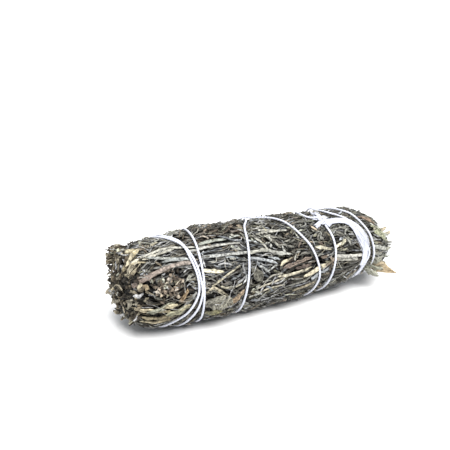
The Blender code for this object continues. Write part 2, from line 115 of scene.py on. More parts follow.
# The pile of leaves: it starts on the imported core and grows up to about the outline.
CORE_HEIGHT = -3.4 * MM
DARK_HEIGHT = -1.5 * MM      # leaves below this are painted as dark as the shade in the gaps between them
PILE_TOP = 0.3 * MM
DEEP_TOP = -1.7 * MM
FIRST_TOP = PILE_TOP - 0.35 * MM
LEFT_LIMIT = -50.3 * MM
RIGHT_LIMIT = 49.6 * MM

# How often a leaf is tried in each layer, and how many of the other small pieces there are.
DEEP_TRIES = 3500
FIRST_TRIES = 15000
TOP_TRIES = 7000
FINE_TRIES = 4500
LEFT_TRIES = 2200
RIGHT_TRIES = 1100
WHORLS = 60
LEFT_TIPS = 60
RIGHT_TIPS = 90
WISPS = 300

# How far the string presses the leaves down, and from where to where they rise beside it.
PRESS_DEPTH = 0.85 * MM
PRESS_NEAR = 0.35 * MM
PRESS_REACH = 1.9 * MM

# Sprigs: where their cores end, the ends used to share out leaves, shares of the radius at
# which one ring of sprigs takes over from the next, and the same for the cores.
CORE_ENDS = (-46.5 * MM, 45.5 * MM)
SPRIG_ENDS = (-48 * MM, 47 * MM)
OUTER_FROM = 0.62
INNER_FROM = 0.28
CORE_OUTER_FROM = 0.60
CORE_INNER_FROM = 0.27

# Flat maps: radius that turns are measured at, width of a cell, and points along a leaf.
GIRTH = 15 * MM
ROUND = 2 * math.pi * GIRTH
CELL = 0.25 * MM
STEPS = 9
SHARE = np.linspace(-0.5, 0.5, STEPS)

# Camera: 450 pixels wide, 900 pixels of focal length, matched to the bundle's outline.
CAMERA_PLACE = (-143.045 * MM, -239.836 * MM, 129.445 * MM)
CAMERA_AZIMUTH = math.radians(-28.5)
CAMERA_ELEVATION = math.radians(20)
CAMERA_LENS = 72
CAMERA_SENSOR = 36

# Light: brightness, width and direction of the key light, and brightness of the surroundings.
KEY_STRENGTH = 6.0
KEY_WIDTH = math.radians(50)
KEY_WAY = (0.02, 0.47, -0.88)
SKY_STRENGTH = 0.52


def make_camera():
    """Camera at the photo's place, moved with the bundle."""
    camera = bpy.data.cameras.new("photo_camera")
    camera.lens = CAMERA_LENS
    camera.sensor_width = CAMERA_SENSOR
    camera.clip_start = 0.01
    holder = bpy.data.objects.new("photo_camera", camera)
    bpy.context.scene.collection.objects.link(holder)
    holder.location = Vector(CAMERA_PLACE) + Vector(BUNDLE_SHIFT)
    holder.rotation_euler = (math.pi / 2 - CAMERA_ELEVATION, 0, CAMERA_AZIMUTH)
    bpy.context.scene.camera = holder


make_camera()


def linear(colour):
    """An sRGB hex value such as "8f8c78" as linear red, green and blue."""
    parts = [int(colour[i:i + 2], 16) / 255 for i in (0, 2, 4)]
    return [part / 12.92 if part <= 0.04045 else ((part + 0.055) / 1.055) ** 2.4 for part in parts]


def add_node(tree, kind, settings=None, links=None):
    """Add a node, set its fields and sockets, and link sockets to its inputs."""
    made = tree.nodes.new(kind)
    for name, value in (settings or {}).items():
        if isinstance(name, str) and hasattr(made, name):
            setattr(made, name, value)
        else:
            made.inputs[name].default_value = value
    for name, source in (links or {}).items():
        tree.links.new(source, made.inputs[name])
    return made


def ramp(tree, factor, stops):
    """Colour ramp through (place, linear colour) stops."""
    made = add_node(tree, "ShaderNodeValToRGB", links={"Fac": factor})
    elements = made.color_ramp.elements
    while len(elements) < len(stops):
        elements.new(0.5)
    for element, (place, colour) in zip(elements, stops):
        element.position = place
        element.color = (*colour, 1)
    return made.outputs["Color"]


def grey_ramp(tree, factor, stops):
    """Ramp through (place, brightness) stops."""
    return ramp(tree, factor, [(place, (value, value, value)) for place, value in stops])


def new_material(name):
    """New material, with its node tree and its shader."""
    made = bpy.data.materials.new(name)
    made.use_nodes = True
    shader = made.node_tree.nodes["Principled BSDF"]
    return made, made.node_tree, shader


def run_along(points):
    """Length of a line up to each of its points."""
    return np.concatenate(([0.0], np.cumsum(np.linalg.norm(np.diff(points, axis=0), axis=1))))


def unit(rows):
    """Rows scaled to a length of one."""
    return rows / np.linalg.norm(rows, axis=1)[:, None]


def round_corners(line, times):
    """Line through the middles of its own steps, taken several times, with its ends kept."""
    for _ in range(times):
        line = np.vstack((line[:1], (line[:-1] + line[1:]) / 2, line[-1:]))
    return line


def choose(rng, items):
    """Random one of some items."""
    return items[rng.integers(len(items))]


def outline(x):
    """Radius of the bundle and height of its middle line at x, for one place or many."""
    places = [row[0] * MM for row in OUTLINE_MM]
    radius = np.interp(x, places, [row[1] * MM for row in OUTLINE_MM])
    lift = np.interp(x, places, [row[2] * MM for row in OUTLINE_MM])
    return radius, radius + lift


def on_bundle(x, turn, radius):
    """Points at x, turned from the top over the front, at a radius from the middle line."""
    x, turn, radius = np.broadcast_arrays(x, turn, radius)
    _, middle = outline(x)
    return np.stack((x, -radius * np.sin(turn), middle + radius * np.cos(turn)), axis=-1)


def string_radius_at(x, turn):
    """Radius at which the middle of the string runs, flattened where the bundle rests."""
    radius, middle = outline(x)
    down = np.maximum(-np.cos(turn), 1e-6)
    lowest = FLAT_HEIGHT + STRING_RADIUS + STRING_OVER_FLAT
    return np.minimum(radius - STRING_SINK, (middle - lowest) / down)


def smooth_route():
    """Places on a smooth curve through the route's points, as rows of x and angle."""
    mean_radius = outline(0)[0]
    flat = np.array([(x * MM, math.radians(turn) * mean_radius) for x, turn in ROUTE])
    along = run_along(flat)
    slope = np.gradient(flat, along, axis=0)
    wanted = np.linspace(0, along[-1], int(along[-1] / STRING_STEP) + 1)
    piece = np.clip(np.searchsorted(along, wanted, side="right") - 1, 0, len(along) - 2)
    span = (along[piece + 1] - along[piece])[:, None]
    t = (wanted[:, None] - along[piece][:, None]) / span
    start = (2 * t**3 - 3 * t**2 + 1) * flat[piece]
    end = (3 * t**2 - 2 * t**3) * flat[piece + 1]
    leave = (t**3 - 2 * t**2 + t) * span * slope[piece]
    arrive = (t**3 - t**2) * span * slope[piece + 1]
    smooth = start + end + leave + arrive
    smooth[:, 1] /= mean_radius
    return smooth


def string_line():
    """Points along the middle of the string; later strands are lifted over earlier ones."""
    places = smooth_route()
    apart = int(STRING_APART / STRING_STEP)
    climb = STRING_CLIMB * STRING_STEP
    base = string_radius_at(places[:, 0], places[:, 1])
    girth = outline(places[:, 0])[0]
    wrapped = np.column_stack((
        places[:, 0], girth * np.cos(places[:, 1]), girth * np.sin(places[:, 1])))
    lift = np.zeros(len(places))
    for _ in range(2):
        for i in range(apart, len(places)):
            gap = np.linalg.norm(wrapped[:i - apart] - wrapped[i], axis=1)
            near = np.nonzero(gap < STRING_SPACING)[0]
            if len(near):
                over = np.sqrt(STRING_SPACING**2 - gap[near]**2)
                lift[i] = max(lift[i], np.max(base[near] + lift[near] + over) - base[i])
        for i in range(1, len(lift)):
            lift[i] = max(lift[i], lift[i - 1] - climb)
        for i in range(len(lift) - 2, -1, -1):
            lift[i] = max(lift[i], lift[i + 1] - climb)
    lift = np.convolve(np.pad(lift, 3, mode="edge"), np.ones(7) / 7, mode="valid")
    return on_bundle(places[:, 0], places[:, 1], base + lift)


def profile(rows):
    """Smooth line from the pole at an end of the bundle outwards: run, place and radius."""
    line = round_corners(np.array(rows) * MM, 6)
    run = run_along(line)
    fine = np.linspace(0, run[-1], 200)
    return fine, np.interp(fine, run, line[:, 0]), np.interp(fine, run, line[:, 1])


LEFT_PROFILE = profile([(OUTLINE_MM[0][0] - 0.3, 0)] + [row[:2] for row in OUTLINE_MM[:9]])
RIGHT_PROFILE = profile([(OUTLINE_MM[-1][0] + 0.3, 0)] + [row[:2] for row in OUTLINE_MM[:-8:-1]])


def on_side(a, b, height):
    """Point of the long side: a runs along the bundle, b round it from the top over the front."""
    return on_bundle(a, b / GIRTH, outline(a)[0] + height)


def on_end(line, way, a, b, height):
    """Point of a rounded end, from its flat map: a to the front and b upwards from the pole."""
    run, place, radius = line
    away = np.hypot(a, b)
    turn = np.arctan2(a, b)
    x = np.interp(away, run, place)
    out = np.interp(away, run, radius)
    slope_x = np.interp(away, run, np.gradient(place, run))
    slope_r = np.interp(away, run, np.gradient(radius, run))
    out = out + height * np.abs(slope_x)
    _, middle = outline(x)
    return np.stack((x + way * height * slope_r, -out * np.sin(turn), middle + out * np.cos(turn)),
                    axis=-1)


def on_left_end(a, b, height):
    """Point of the rounded left end."""
    return on_end(LEFT_PROFILE, -1, a, b, height)


def on_right_end(a, b, height):
    """Point of the rounded right end."""
    return on_end(RIGHT_PROFILE, 1, a, b, height)


class Pile:
    """Flat map of part of the surface, with the height that its leaves have reached."""

    def __init__(self, low, high, place, wraps, rng):
        self.low = np.array(low)
        self.count = np.round((np.array(high) - self.low) / CELL).astype(int)
        self.cell = (np.array(high) - self.low) / self.count
        self.place = place
        self.wraps = wraps
        self.height = CORE_HEIGHT + 0.3 * MM * rng.random(self.count)

    def cells(self, a, b):
        """Indices of the cells that hold some points of the map."""
        i = np.floor((a - self.low[0]) / self.cell[0]).astype(int)
        j = np.floor((b - self.low[1]) / self.cell[1]).astype(int)
        i = np.clip(i, 0, self.count[0] - 1)
        if self.wraps:
            return i, j % self.count[1]
        return i, np.clip(j, 0, self.count[1] - 1)

    def level(self, a, b, heading, length):
        """Height of the pile under a straight leaf."""
        steps = np.linspace(-0.45, 0.45, 6) * length
        cells = self.cells(a + steps * math.cos(heading), b + steps * math.sin(heading))
        return self.height[cells].mean()

    def settle(self, a, b, width, thick, sag):
        """Heights of a leaf's middle line where it rests on the pile, along the points a, b."""
        run_a = np.gradient(a)
        run_b = np.gradient(b)
        size = np.hypot(run_a, run_b)
        aside = np.array((-0.35, 0.0, 0.35))[:, None] * width
        cells = self.cells(a - aside * run_b / size, b + aside * run_a / size)
        top = self.height[cells].max(axis=0)
        soft = np.convolve(np.pad(top, sag, mode="edge"), np.ones(2 * sag + 1) / (2 * sag + 1),
                           mode="valid")
        return np.maximum(soft, top - 0.3 * thick) + 0.4 * thick

    def cover(self, a, b, height, width, thick):
        """Raise the pile over a leaf's footprint."""
        length = np.hypot(np.diff(a), np.diff(b)).sum()
        fine = np.linspace(0, len(a) - 1, int(length / CELL * 1.3) + 3)
        steps = np.arange(len(a))
        fine_a, fine_b, fine_h = (np.interp(fine, steps, row) for row in (a, b, height))
        run_a = np.gradient(fine_a)
        run_b = np.gradient(fine_b)
        size = np.hypot(run_a, run_b)
        count = int(width / CELL * 1.3) + 2
        aside = np.linspace(-0.5, 0.5, count)[:, None]
        cells = self.cells(fine_a - aside * width * run_b / size,
                           fine_b + aside * width * run_a / size)
        crown = fine_h + thick * (0.45 - 1.2 * aside**2)
        np.maximum.at(self.height, cells, crown)


class StringPress:
    """How high the leaves may stand between, beside and under the strands of string."""

    def __init__(self, line):
        tree = kdtree.KDTree(len(line))
        for index, point in enumerate(line):
            tree.insert(point, index)
        tree.balance()
        self.low = -56 * MM
        self.step = 0.5 * MM
        self.turns = 192
        self.count = 226
        self.room = np.zeros((self.count, self.turns))
        for i in range(self.count):
            x = self.low + i * self.step
            turn = np.linspace(0, 2 * math.pi, self.turns, endpoint=False)
            spots = on_bundle(x, turn, string_radius_at(x, turn))
            self.room[i] = [tree.find(spot)[2] for spot in spots]

    def squeeze(self, a, b, height):
        """Heights pressed down in proportion where a strand runs over the leaves."""
        u = np.clip((a - self.low) / self.step, 0, self.count - 1.001)
        v = (b / GIRTH / (2 * math.pi) % 1) * self.turns
        i = u.astype(int)
        j = v.astype(int) % self.turns
        k = (j + 1) % self.turns
        fu = u - i
        fv = v - np.floor(v)
        gap = ((self.room[i, j] * (1 - fv) + self.room[i, k] * fv) * (1 - fu)
               + (self.room[i + 1, j] * (1 - fv) + self.room[i + 1, k] * fv) * fu)
        rise = np.clip((gap - PRESS_NEAR) / PRESS_REACH, 0, 1)
        top = -PRESS_DEPTH + (PRESS_DEPTH + PILE_TOP) * rise * (2 - rise)
        share = (top - CORE_HEIGHT) / (PILE_TOP - CORE_HEIGHT)
        return CORE_HEIGHT + (height - CORE_HEIGHT) * share


# Lumps and hollows of the leaves' top: height, waves per metre along, whole waves round, phase.
RELIEF = (
    (0.24 * MM, 90, 5, 0.4), (0.26 * MM, 145, -9, 2.1), (0.26 * MM, 210, 13, 4.0),
    (0.2 * MM, 60, 8, 1.3), (0.26 * MM, 290, -21, 5.2), (0.24 * MM, 410, 27, 3.3),
    (0.2 * MM, 520, -38, 0.9),
)


def on_map(x_mm, degrees):
    """Spot of the side's flat map, from mm along the bundle and degrees round it."""
    return x_mm * MM, math.radians(degrees) * GIRTH


# Dark hollow in the left end, just behind its rim on the front.
HOLE = on_map(-45.4, 80)
HOLE_DEPTH = 3.0 * MM
HOLE_REACH = 2.6 * MM


def relief(a, b):
    """How far the top leaves stand above or below the outline along points of a map."""
    high = np.full(np.shape(a), -0.05 * MM)
    for size, along, round_, phase in RELIEF:
        high += size * np.sin(2 * math.pi * along * a + round_ * b / GIRTH + phase)
    away = np.hypot(a - HOLE[0], b - HOLE[1])
    return np.minimum(high, 0.5 * MM) - HOLE_DEPTH * np.exp(-(away / HOLE_REACH)**2)


def take_mesh(piece):
    """Points, corners and face sizes of a mesh object, which is removed."""
    mesh = piece.data
    points = np.array([vert.co for vert in mesh.vertices])
    loops = np.array([loop.vertex_index for loop in mesh.loops])
    sizes = np.array([face.loop_total for face in mesh.polygons])
    bpy.data.objects.remove(piece)
    return points, loops, sizes


class Form:
    """Small closed shape whose copies are bent along lines: x runs 0 to 1, y and z -1 to 1."""

    def __init__(self, piece):
        self.points, self.loops, self.sizes = take_mesh(piece)
        places, self.ring = np.unique(np.round(self.points[:, 0], 2), return_inverse=True)
        self.rings = len(places)


def draw_out(sides, stations):
    """Closed piece drawn out along X from a ring, with (place, half width, half thickness)."""
    place, wide, thick = stations[0]
    bpy.ops.object.select_all(action="DESELECT")
    bpy.ops.mesh.primitive_circle_add(
        vertices=sides, radius=1, fill_type="NGON", location=(place, 0, 0),
        rotation=(0, math.pi / 2, 0))
    piece = bpy.context.object
    bpy.ops.object.transform_apply(location=True, rotation=True, scale=True)
    bpy.ops.object.mode_set(mode="EDIT")
    bpy.ops.mesh.select_all(action="SELECT")
    bpy.ops.transform.resize(value=(1, wide, thick))
    for next_place, next_wide, next_thick in stations[1:]:
        bpy.ops.mesh.extrude_region_move(
            TRANSFORM_OT_translate={"value": (next_place - place, 0, 0)})
        bpy.ops.transform.resize(value=(1, next_wide / wide, next_thick / thick))
        place, wide, thick = next_place, next_wide, next_thick
    bpy.ops.mesh.select_all(action="SELECT")
    bpy.ops.mesh.normals_make_consistent(inside=False)
    bpy.ops.object.mode_set(mode="OBJECT")
    return piece


def move_where(piece, wanted, shift):
    """Move the vertices that wanted picks by their place."""
    bpy.ops.object.mode_set(mode="OBJECT")
    for vert in piece.data.vertices:
        vert.select = bool(wanted(vert.co))
    for group in (piece.data.edges, piece.data.polygons):
        for item in group:
            item.select = all(piece.data.vertices[i].select for i in item.vertices)
    bpy.ops.object.mode_set(mode="EDIT")
    bpy.ops.transform.translate(value=shift)
    bpy.ops.object.mode_set(mode="OBJECT")


def on_rib(co):
    """Whether a vertex lies on a leaf's upper rib, away from its ends."""
    return abs(co.y) < 0.05 and co.z > 0.1 and 0.02 < co.x < 0.98


def rolled_leaf():
    """Narrow leaf whose edges have curled up on drying, with a furrow along its rib."""
    piece = draw_out(8, ((0, 0.3, 0.35), (0.08, 0.75, 0.75), (0.25, 1, 0.95), (0.42, 0.9, 1),
                         (0.6, 1, 0.9), (0.78, 0.85, 0.9), (0.93, 0.55, 0.7), (1, 0.15, 0.25)))
    move_where(piece, on_rib, (0, 0, -0.85))
    return Form(piece)


def slim_leaf():
    """Plainer leaf for the deeper layers."""
    return Form(draw_out(6, ((0, 0.35, 0.4), (0.15, 0.9, 0.9), (0.5, 1, 1), (0.85, 0.8, 0.85),
                             (1, 0.25, 0.3))))


def pointed_leaf():
    """Leaf with a thin stalk, widest past its middle and pointed, folded along the rib."""
    piece = draw_out(8, ((0, 0.22, 0.5), (0.2, 0.3, 0.6), (0.4, 0.75, 0.8), (0.6, 1, 1),
                         (0.8, 0.8, 0.8), (0.93, 0.4, 0.5), (1, 0.06, 0.1)))
    move_where(piece, lambda co: on_rib(co) and co.x > 0.3, (0, 0, -0.9))
    return Form(piece)


def split_leaf():
    """Broken leaf with a ragged end and one edge folded over."""
    piece = draw_out(8, ((0, 0.8, 0.5), (0.1, 0.9, 0.8), (0.4, 1, 0.9), (0.7, 0.9, 1),
                         (0.9, 0.95, 0.7), (1, 0.7, 0.4)))
    move_where(piece, on_rib, (0, 0, -0.7))
    move_where(piece, lambda co: co.y > 0.4 and co.x > 0.85, (-0.12, -0.25, 0.3))
    move_where(piece, lambda co: co.y < -0.4 and co.x < 0.15, (0.1, 0, 0.4))
    return Form(piece)


def crumpled_leaf():
    """Larger leaf, folded in waves along its length and drawn to a point at both ends."""
    piece = draw_out(12, ((0, 0.15, 0.3), (0.08, 0.5, 0.6), (0.2, 0.9, 0.8), (0.34, 0.8, 1),
                          (0.48, 1, 0.8), (0.62, 0.85, 1), (0.76, 0.75, 0.75), (0.9, 0.4, 0.6),
                          (1, 0.06, 0.15)))
    move_where(piece, on_rib, (0, 0, -0.95))
    move_where(piece, lambda co: 0.6 < co.y and 0.3 < co.x < 0.7, (0, -0.15, 0.7))
    move_where(piece, lambda co: co.y < -0.7 and 0.1 < co.x < 0.5, (0, 0.1, 0.55))
    return Form(piece)


def veined_leaf():
    """Broad flat leaf with its middle rib sunk and ridges across it over the side veins."""
    rows = [(0, 0.08, 0.5)]
    for i in range(1, 20):
        share = i / 20
        rows.append((share, math.sin(math.pi * share**0.8) ** 0.75, 1.0 if i % 2 else 0.5))
    piece = draw_out(12, rows + [(1, 0.05, 0.3)])
    move_where(piece, on_rib, (0, 0, -0.8))
    form = Form(piece)
    form.points[:, 0] += 0.16 * np.abs(form.points[:, 1])
    form.points[:, 0] /= form.points[:, 0].max()
    return form


def broad_leaf():
    """Broad triangular leaf, flat and dry, that tapers to its tip."""
    piece = draw_out(12, ((0, 0.55, 0.5), (0.18, 0.95, 0.8), (0.36, 1, 1), (0.5, 0.74, 0.9),
                          (0.62, 0.55, 1), (0.75, 0.36, 0.8), (0.9, 0.15, 0.6), (1, 0.03, 0.2)))
    move_where(piece, on_rib, (0, 0, -0.8))
    return Form(piece)


def stem():
    """Bare stem with grooves along it and small swellings where its leaves grew."""
    piece = draw_out(8, ((0, 0.75, 0.75), (0.01, 0.95, 0.95), (0.12, 0.9, 0.9), (0.2, 0.9, 0.9),
                         (0.23, 1.2, 1.2), (0.26, 0.92, 0.92), (0.38, 0.86, 0.86),
                         (0.52, 0.84, 0.84), (0.55, 1.1, 1.1), (0.58, 0.85, 0.85),
                         (0.7, 0.8, 0.8), (0.85, 0.8, 0.8), (0.99, 0.75, 0.75), (1, 0.5, 0.5)))
    move_where(piece, on_rib, (0, 0, -0.3))
    return Form(piece)


def bud():
    """Plump dried floret or curled leaf tip."""
    piece = draw_out(6, ((0, 0.35, 0.35), (0.18, 0.8, 0.8), (0.5, 1, 1), (0.8, 0.85, 0.8),
                         (1, 0.3, 0.3)))
    move_where(piece, lambda co: co.z > 0.3 and co.x < 0.3, (0, 0.2, -0.4))
    move_where(piece, lambda co: co.z > 0.3 and co.x > 0.7, (0, -0.2, -0.35))
    return Form(piece)


def wisp():
    """Fine fibre, such as a bare leaf stalk or a torn strip of bark."""
    return Form(draw_out(4, [(share, 1 - 0.5 * share, 1 - 0.5 * share)
                             for share in (0, 0.14, 0.28, 0.43, 0.57, 0.71, 0.86, 1)]))


FORMS = {"rolled": rolled_leaf(), "slim": slim_leaf(), "pointed": pointed_leaf(),
         "split": split_leaf(), "crumpled": crumpled_leaf(), "veined": veined_leaf(),
         "broad": broad_leaf(), "twig": stem(), "bud": bud(), "wisp": wisp()}
# How much the rings of a form's copies vary, where it isn't as much as in most of the leaves.
MOST_UNEVEN = 0.19
UNEVEN = {"twig": 0.05, "wisp": 0.0, "veined": 0.05, "broad": 0.07}

# Colours of dried sage, with how often each turns up.
PALETTES = {
    "body": (("a3a29a", 6), ("86847b", 5), ("c2c0b7", 3), ("6a6861", 5), ("94979a", 3),
             ("8d8a78", 4), ("b4b0a4", 3), ("777068", 3), ("504d46", 4), ("9c8f7c", 2)),
    "rim": (("877f6e", 5), ("aca38c", 4), ("696050", 5), ("494135", 5), ("999383", 3),
            ("cbc4b1", 2), ("2e2820", 4)),
    "floret": (("7f7263", 4), ("9d9080", 4), ("5d5348", 4), ("b8ad9f", 2), ("3d352d", 3),
               ("75715f", 2)),
    "rust": (("73655a", 4), ("594d45", 4), ("8d8174", 3), ("6e685c", 3), ("352e29", 3)),
    "pale": (("c6c3b8", 5), ("a9a8a2", 4), ("b9b29f", 3), ("7c7a72", 3), ("5a5750", 2)),
    "green": (("b3b5a8", 4), ("96988a", 5), ("cecec3", 4), ("77776d", 4), ("a8a69c", 4),
              ("948b78", 2), ("4d4c45", 2)),
    "cool": (("a3a8aa", 5), ("868b8f", 5), ("c0c5c8", 3), ("65686b", 4), ("8b8a84", 3)),
    # dark: for the deep layer, the hollow and a sunken patch at the left end, as painted shade.
    "dark": (("5c5a50", 4), ("474338", 4), ("77746a", 3), ("34302a", 3)),
}
# Near-black painted shade of the gaps between the leaves, also given to the sprigs' cores and to
# the buried bases of the end tips.
PAINTED_GAP_SHADE = np.array(linear("090806"))


def pick(rng, palette):
    """Random colour of a palette, a little lighter or darker each time."""
    names = [name for name, _ in PALETTES[palette]]
    weights = np.array([weight for _, weight in PALETTES[palette]], float)
    colour = np.array(linear(names[rng.choice(len(names), p=weights / weights.sum())]))
    return np.clip(colour * rng.lognormal(0, 0.26), 0.008, 0.44)


def bend_form(form, line, out, width, thick, twist, uneven, rng):
    """Points of a form bent along a line; out points away from the bundle along it."""
    along = unit(np.gradient(line, axis=0))
    spot = form.points[:, 0] * (len(line) - 1)
    low = np.clip(np.floor(spot).astype(int), 0, len(line) - 2)
    part = (spot - low)[:, None]
    middle = line[low] * (1 - part) + line[low + 1] * part
    way = along[low] * (1 - part) + along[low + 1] * part
    up = out[low] * (1 - part) + out[low + 1] * part
    side = unit(np.cross(up, way))
    up = np.cross(way, side)
    wide, sway, sink = rng.normal(0, uneven, (3, form.rings))[:, form.ring]
    across = (form.points[:, 1] * (1 + wide) + sway) * width / 2
    above = (form.points[:, 2] + sink) * thick / 2
    turn = twist * (form.points[:, 0] - 0.5)
    aside = across * np.cos(turn) - above * np.sin(turn)
    raised = across * np.sin(turn) + above * np.cos(turn)
    return middle + side * aside[:, None] + up * raised[:, None]


class Heap:
    """All the small pieces of one sprig, gathered into one mesh."""

    def __init__(self):
        self.points = []
        self.loops = []
        self.sizes = []
        self.colours = []
        self.grain = []
        self.count = 0

    def add(self, points, loops, sizes, colours, grain):
        """Add one piece, with a colour and a place on the grain for each point."""
        self.points.append(points)
        self.loops.append(loops + self.count)
        self.sizes.append(sizes)
        self.colours.append(colours)
        self.grain.append(grain[loops])
        self.count += len(points)

    def object(self, name):
        """Object with all the pieces, kept above the ground and under the highest point."""
        points = np.concatenate(self.points)
        points[:, 2] = np.clip(points[:, 2], FLAT_HEIGHT, HIGHEST)
        loops = np.concatenate(self.loops)
        sizes = np.concatenate(self.sizes)
        mesh = bpy.data.meshes.new(name)
        mesh.vertices.add(len(points))
        mesh.vertices.foreach_set("co", (points + BUNDLE_SHIFT).ravel())
        mesh.loops.add(len(loops))
        mesh.loops.foreach_set("vertex_index", loops)
        mesh.polygons.add(len(sizes))
        mesh.polygons.foreach_set("loop_start", np.cumsum(sizes) - sizes)
        mesh.polygons.foreach_set("use_smooth", np.ones(len(sizes), bool))
        mesh.update(calc_edges=True)
        tint = mesh.color_attributes.new("tint", "FLOAT_COLOR", "POINT")
        colours = np.concatenate(self.colours)
        tint.data.foreach_set("color", np.column_stack((colours, np.ones(len(colours)))).ravel())
        layer = mesh.uv_layers.new(name="grain")
        layer.data.foreach_set("uv", np.concatenate(self.grain).ravel())
        made = bpy.data.objects.new(name, mesh)
        bpy.context.scene.collection.objects.link(made)
        return made


heaps = {}


def heap_at(point):
    """Heap of the sprig that a point belongs to."""
    radius, middle = outline(np.clip(point[0], *SPRIG_ENDS))
    share = math.hypot(point[1], point[2] - middle) / radius
    turn = math.atan2(-point[1], point[2] - middle) % (2 * math.pi)
    if share > OUTER_FROM:
        number = round(turn / (2 * math.pi) * OUTER_COUNT) % OUTER_COUNT
        name = f"outer_sprig_{number + 1:02d}"
    elif share > INNER_FROM:
        number = round(turn / (2 * math.pi) * INNER_COUNT) % INNER_COUNT
        name = f"inner_sprig_{number + 1}"
    else:
        name = "centre_sprig"
    return heaps.setdefault(name, Heap())


def add_piece(kind, line, out, width, thick, twist, base, tip, rng):
    """Add one small piece along a line, coloured from its base to its tip."""
    form = FORMS[kind]
    points = bend_form(form, line, out, width, thick, twist, UNEVEN.get(kind, MOST_UNEVEN), rng)
    share = form.points[:, :1]
    colours = base * (1 - share) + tip * share
    if kind == "veined":
        # Painted light and shade: the ridges over the side veins are made paler and the furrows
        # between them darker.
        colours = colours * np.where(form.ring % 2, 1.35, 0.6)[:, None]
    length = np.linalg.norm(np.diff(line, axis=0), axis=1).sum()
    start = rng.uniform(0, 50)
    grain = np.column_stack((form.points[:, 1] * width / MM / 2 + start,
                             form.points[:, 0] * length / MM + start))
    heap_at(line[len(line) // 2]).add(points, form.loops, form.sizes, colours, grain)


def curve_on_map(a, b, heading, length, bend, wave=0.0, hook=0.0):
    """Points of a curve on a flat map, round its middle: an arc, a wave and a hooked tip."""
    turn = heading + bend * SHARE + wave * np.sin(2 * math.pi * SHARE)
    turn = turn + hook * np.clip((SHARE - 0.15) / 0.35, 0, 1)
    run_a = np.cos(turn) * length / (STEPS - 1)
    run_b = np.sin(turn) * length / (STEPS - 1)
    line_a = np.concatenate(([0.0], np.cumsum((run_a[:-1] + run_a[1:]) / 2)))
    line_b = np.concatenate(([0.0], np.cumsum((run_b[:-1] + run_b[1:]) / 2)))
    return a + line_a - line_a[STEPS // 2], b + line_b - line_b[STEPS // 2]


def to_space(pile, a, b, height, press):
    """Points in space of a line on a map, and the outward directions along it."""
    if press:
        height = press.squeeze(a, b, height)
    line = pile.place(a, b, height)
    out = pile.place(a, b, height + 0.5 * MM) - line
    return line, unit(out)


def shaded(colour, height):
    """Colour of a leaf at some depth, with painted shade: the deeper ones fade towards the
    near-black painted shade of the gaps.
    """
    share = np.clip((height - DARK_HEIGHT) / (PILE_TOP - DARK_HEIGHT), 0, 1) ** 1.25
    return PAINTED_GAP_SHADE * (1 - share) + colour * share


def lay_leaf(pile, press, rng, spots, style, ceiling, size=1.0):
    """Lay one leaf in the lowest of some places, unless it would stand above the ceiling."""
    headings = [style.heading(spot, rng) for spot in spots]
    length = size * rng.uniform(*style.length) * MM * (1.7 if rng.random() < 0.1 else 1)
    levels = [pile.level(*spot, heading, length) for spot, heading in zip(spots, headings)]
    best = int(np.argmin(levels))
    spot = spots[best]
    low, high = style.width
    width = size * (low + (high - low) * rng.random() ** 1.6) * MM
    thick = width * rng.uniform(0.5, 0.8)
    hook = rng.uniform(0.8, 2.4) * rng.choice((-1, 1)) if rng.random() < style.hooks else 0
    a, b = curve_on_map(*spot, headings[best], length, rng.normal(0, style.bend),
                        rng.normal(0, 0.22), hook)
    if pile.wraps and (a.min() < LEFT_LIMIT or a.max() > RIGHT_LIMIT):
        return
    height = pile.settle(a, b, width, thick, 2)
    if np.any(height + thick / 2 > ceiling + relief(a, b) + style.rise * MM):
        return
    pile.cover(a, b, height, width, thick)
    lift = min(rng.exponential(style.lift), 1.1) * MM
    height = height + lift * np.clip(SHARE * 2, 0, 1)**2
    if rng.random() < 0.5:
        a, b, height = a[::-1], b[::-1], height[::-1]
    line, out = to_space(pile, a, b, height, press)
    kind = choose(rng, style.kinds if height.mean() > DEEP_TOP else ("slim",))
    # Painted shade: the deeper a leaf lies, the darker its colour.
    base = shaded(pick(rng, style.palette), height.mean())
    tip = np.clip(base * rng.uniform(0.75, 1.35), 0, 0.48)
    add_piece(kind, line, out, width, thick, rng.normal(0, 0.9), base, tip, rng)


class Style:
    """How the leaves of one part of the surface lie, and what they look like."""

    def __init__(self, heading=0.0, spread=15.0, length=(2.8, 7.5), width=(0.45, 1.5), bend=0.5,
                 lift=0.25, palette="body", hooks=0.16, rise=0.0,
                 kinds=("rolled", "rolled", "pointed", "split", "crumpled", "crumpled", "twig")):
        self.way = math.radians(heading)
        self.spread = math.radians(spread)
        self.length = length
        self.width = width
        self.bend = bend
        self.lift = lift
        self.palette = palette
        self.hooks = hooks
        self.rise = rise
        self.kinds = kinds

    def heading(self, spot, rng):
        """Direction of a leaf at a spot: the style's own, swaying along the bundle."""
        a, b = spot[0] / MM, spot[1] / MM
        sway = 0.16 * math.sin(0.11 * a + 0.2 * b + 1.0) + 0.12 * math.sin(0.31 * a - 0.13 * b)
        way = self.way + sway + rng.normal(0, self.spread)
        if rng.random() < 0.1:
            way += rng.uniform(-1, 1)
        return way


class RingStyle(Style):
    """Leaves that point to or curl round one spot."""

    def __init__(self, centre, slant, **settings):
        super().__init__(**settings)
        self.centre = centre
        self.slant = math.radians(slant)

    def heading(self, spot, rng):
        """Direction of a leaf at a spot, turned by the slant from the one to the centre."""
        to_centre = math.atan2(self.centre[1] - spot[1], self.centre[0] - spot[0])
        return to_centre + self.slant + rng.normal(0, self.spread)


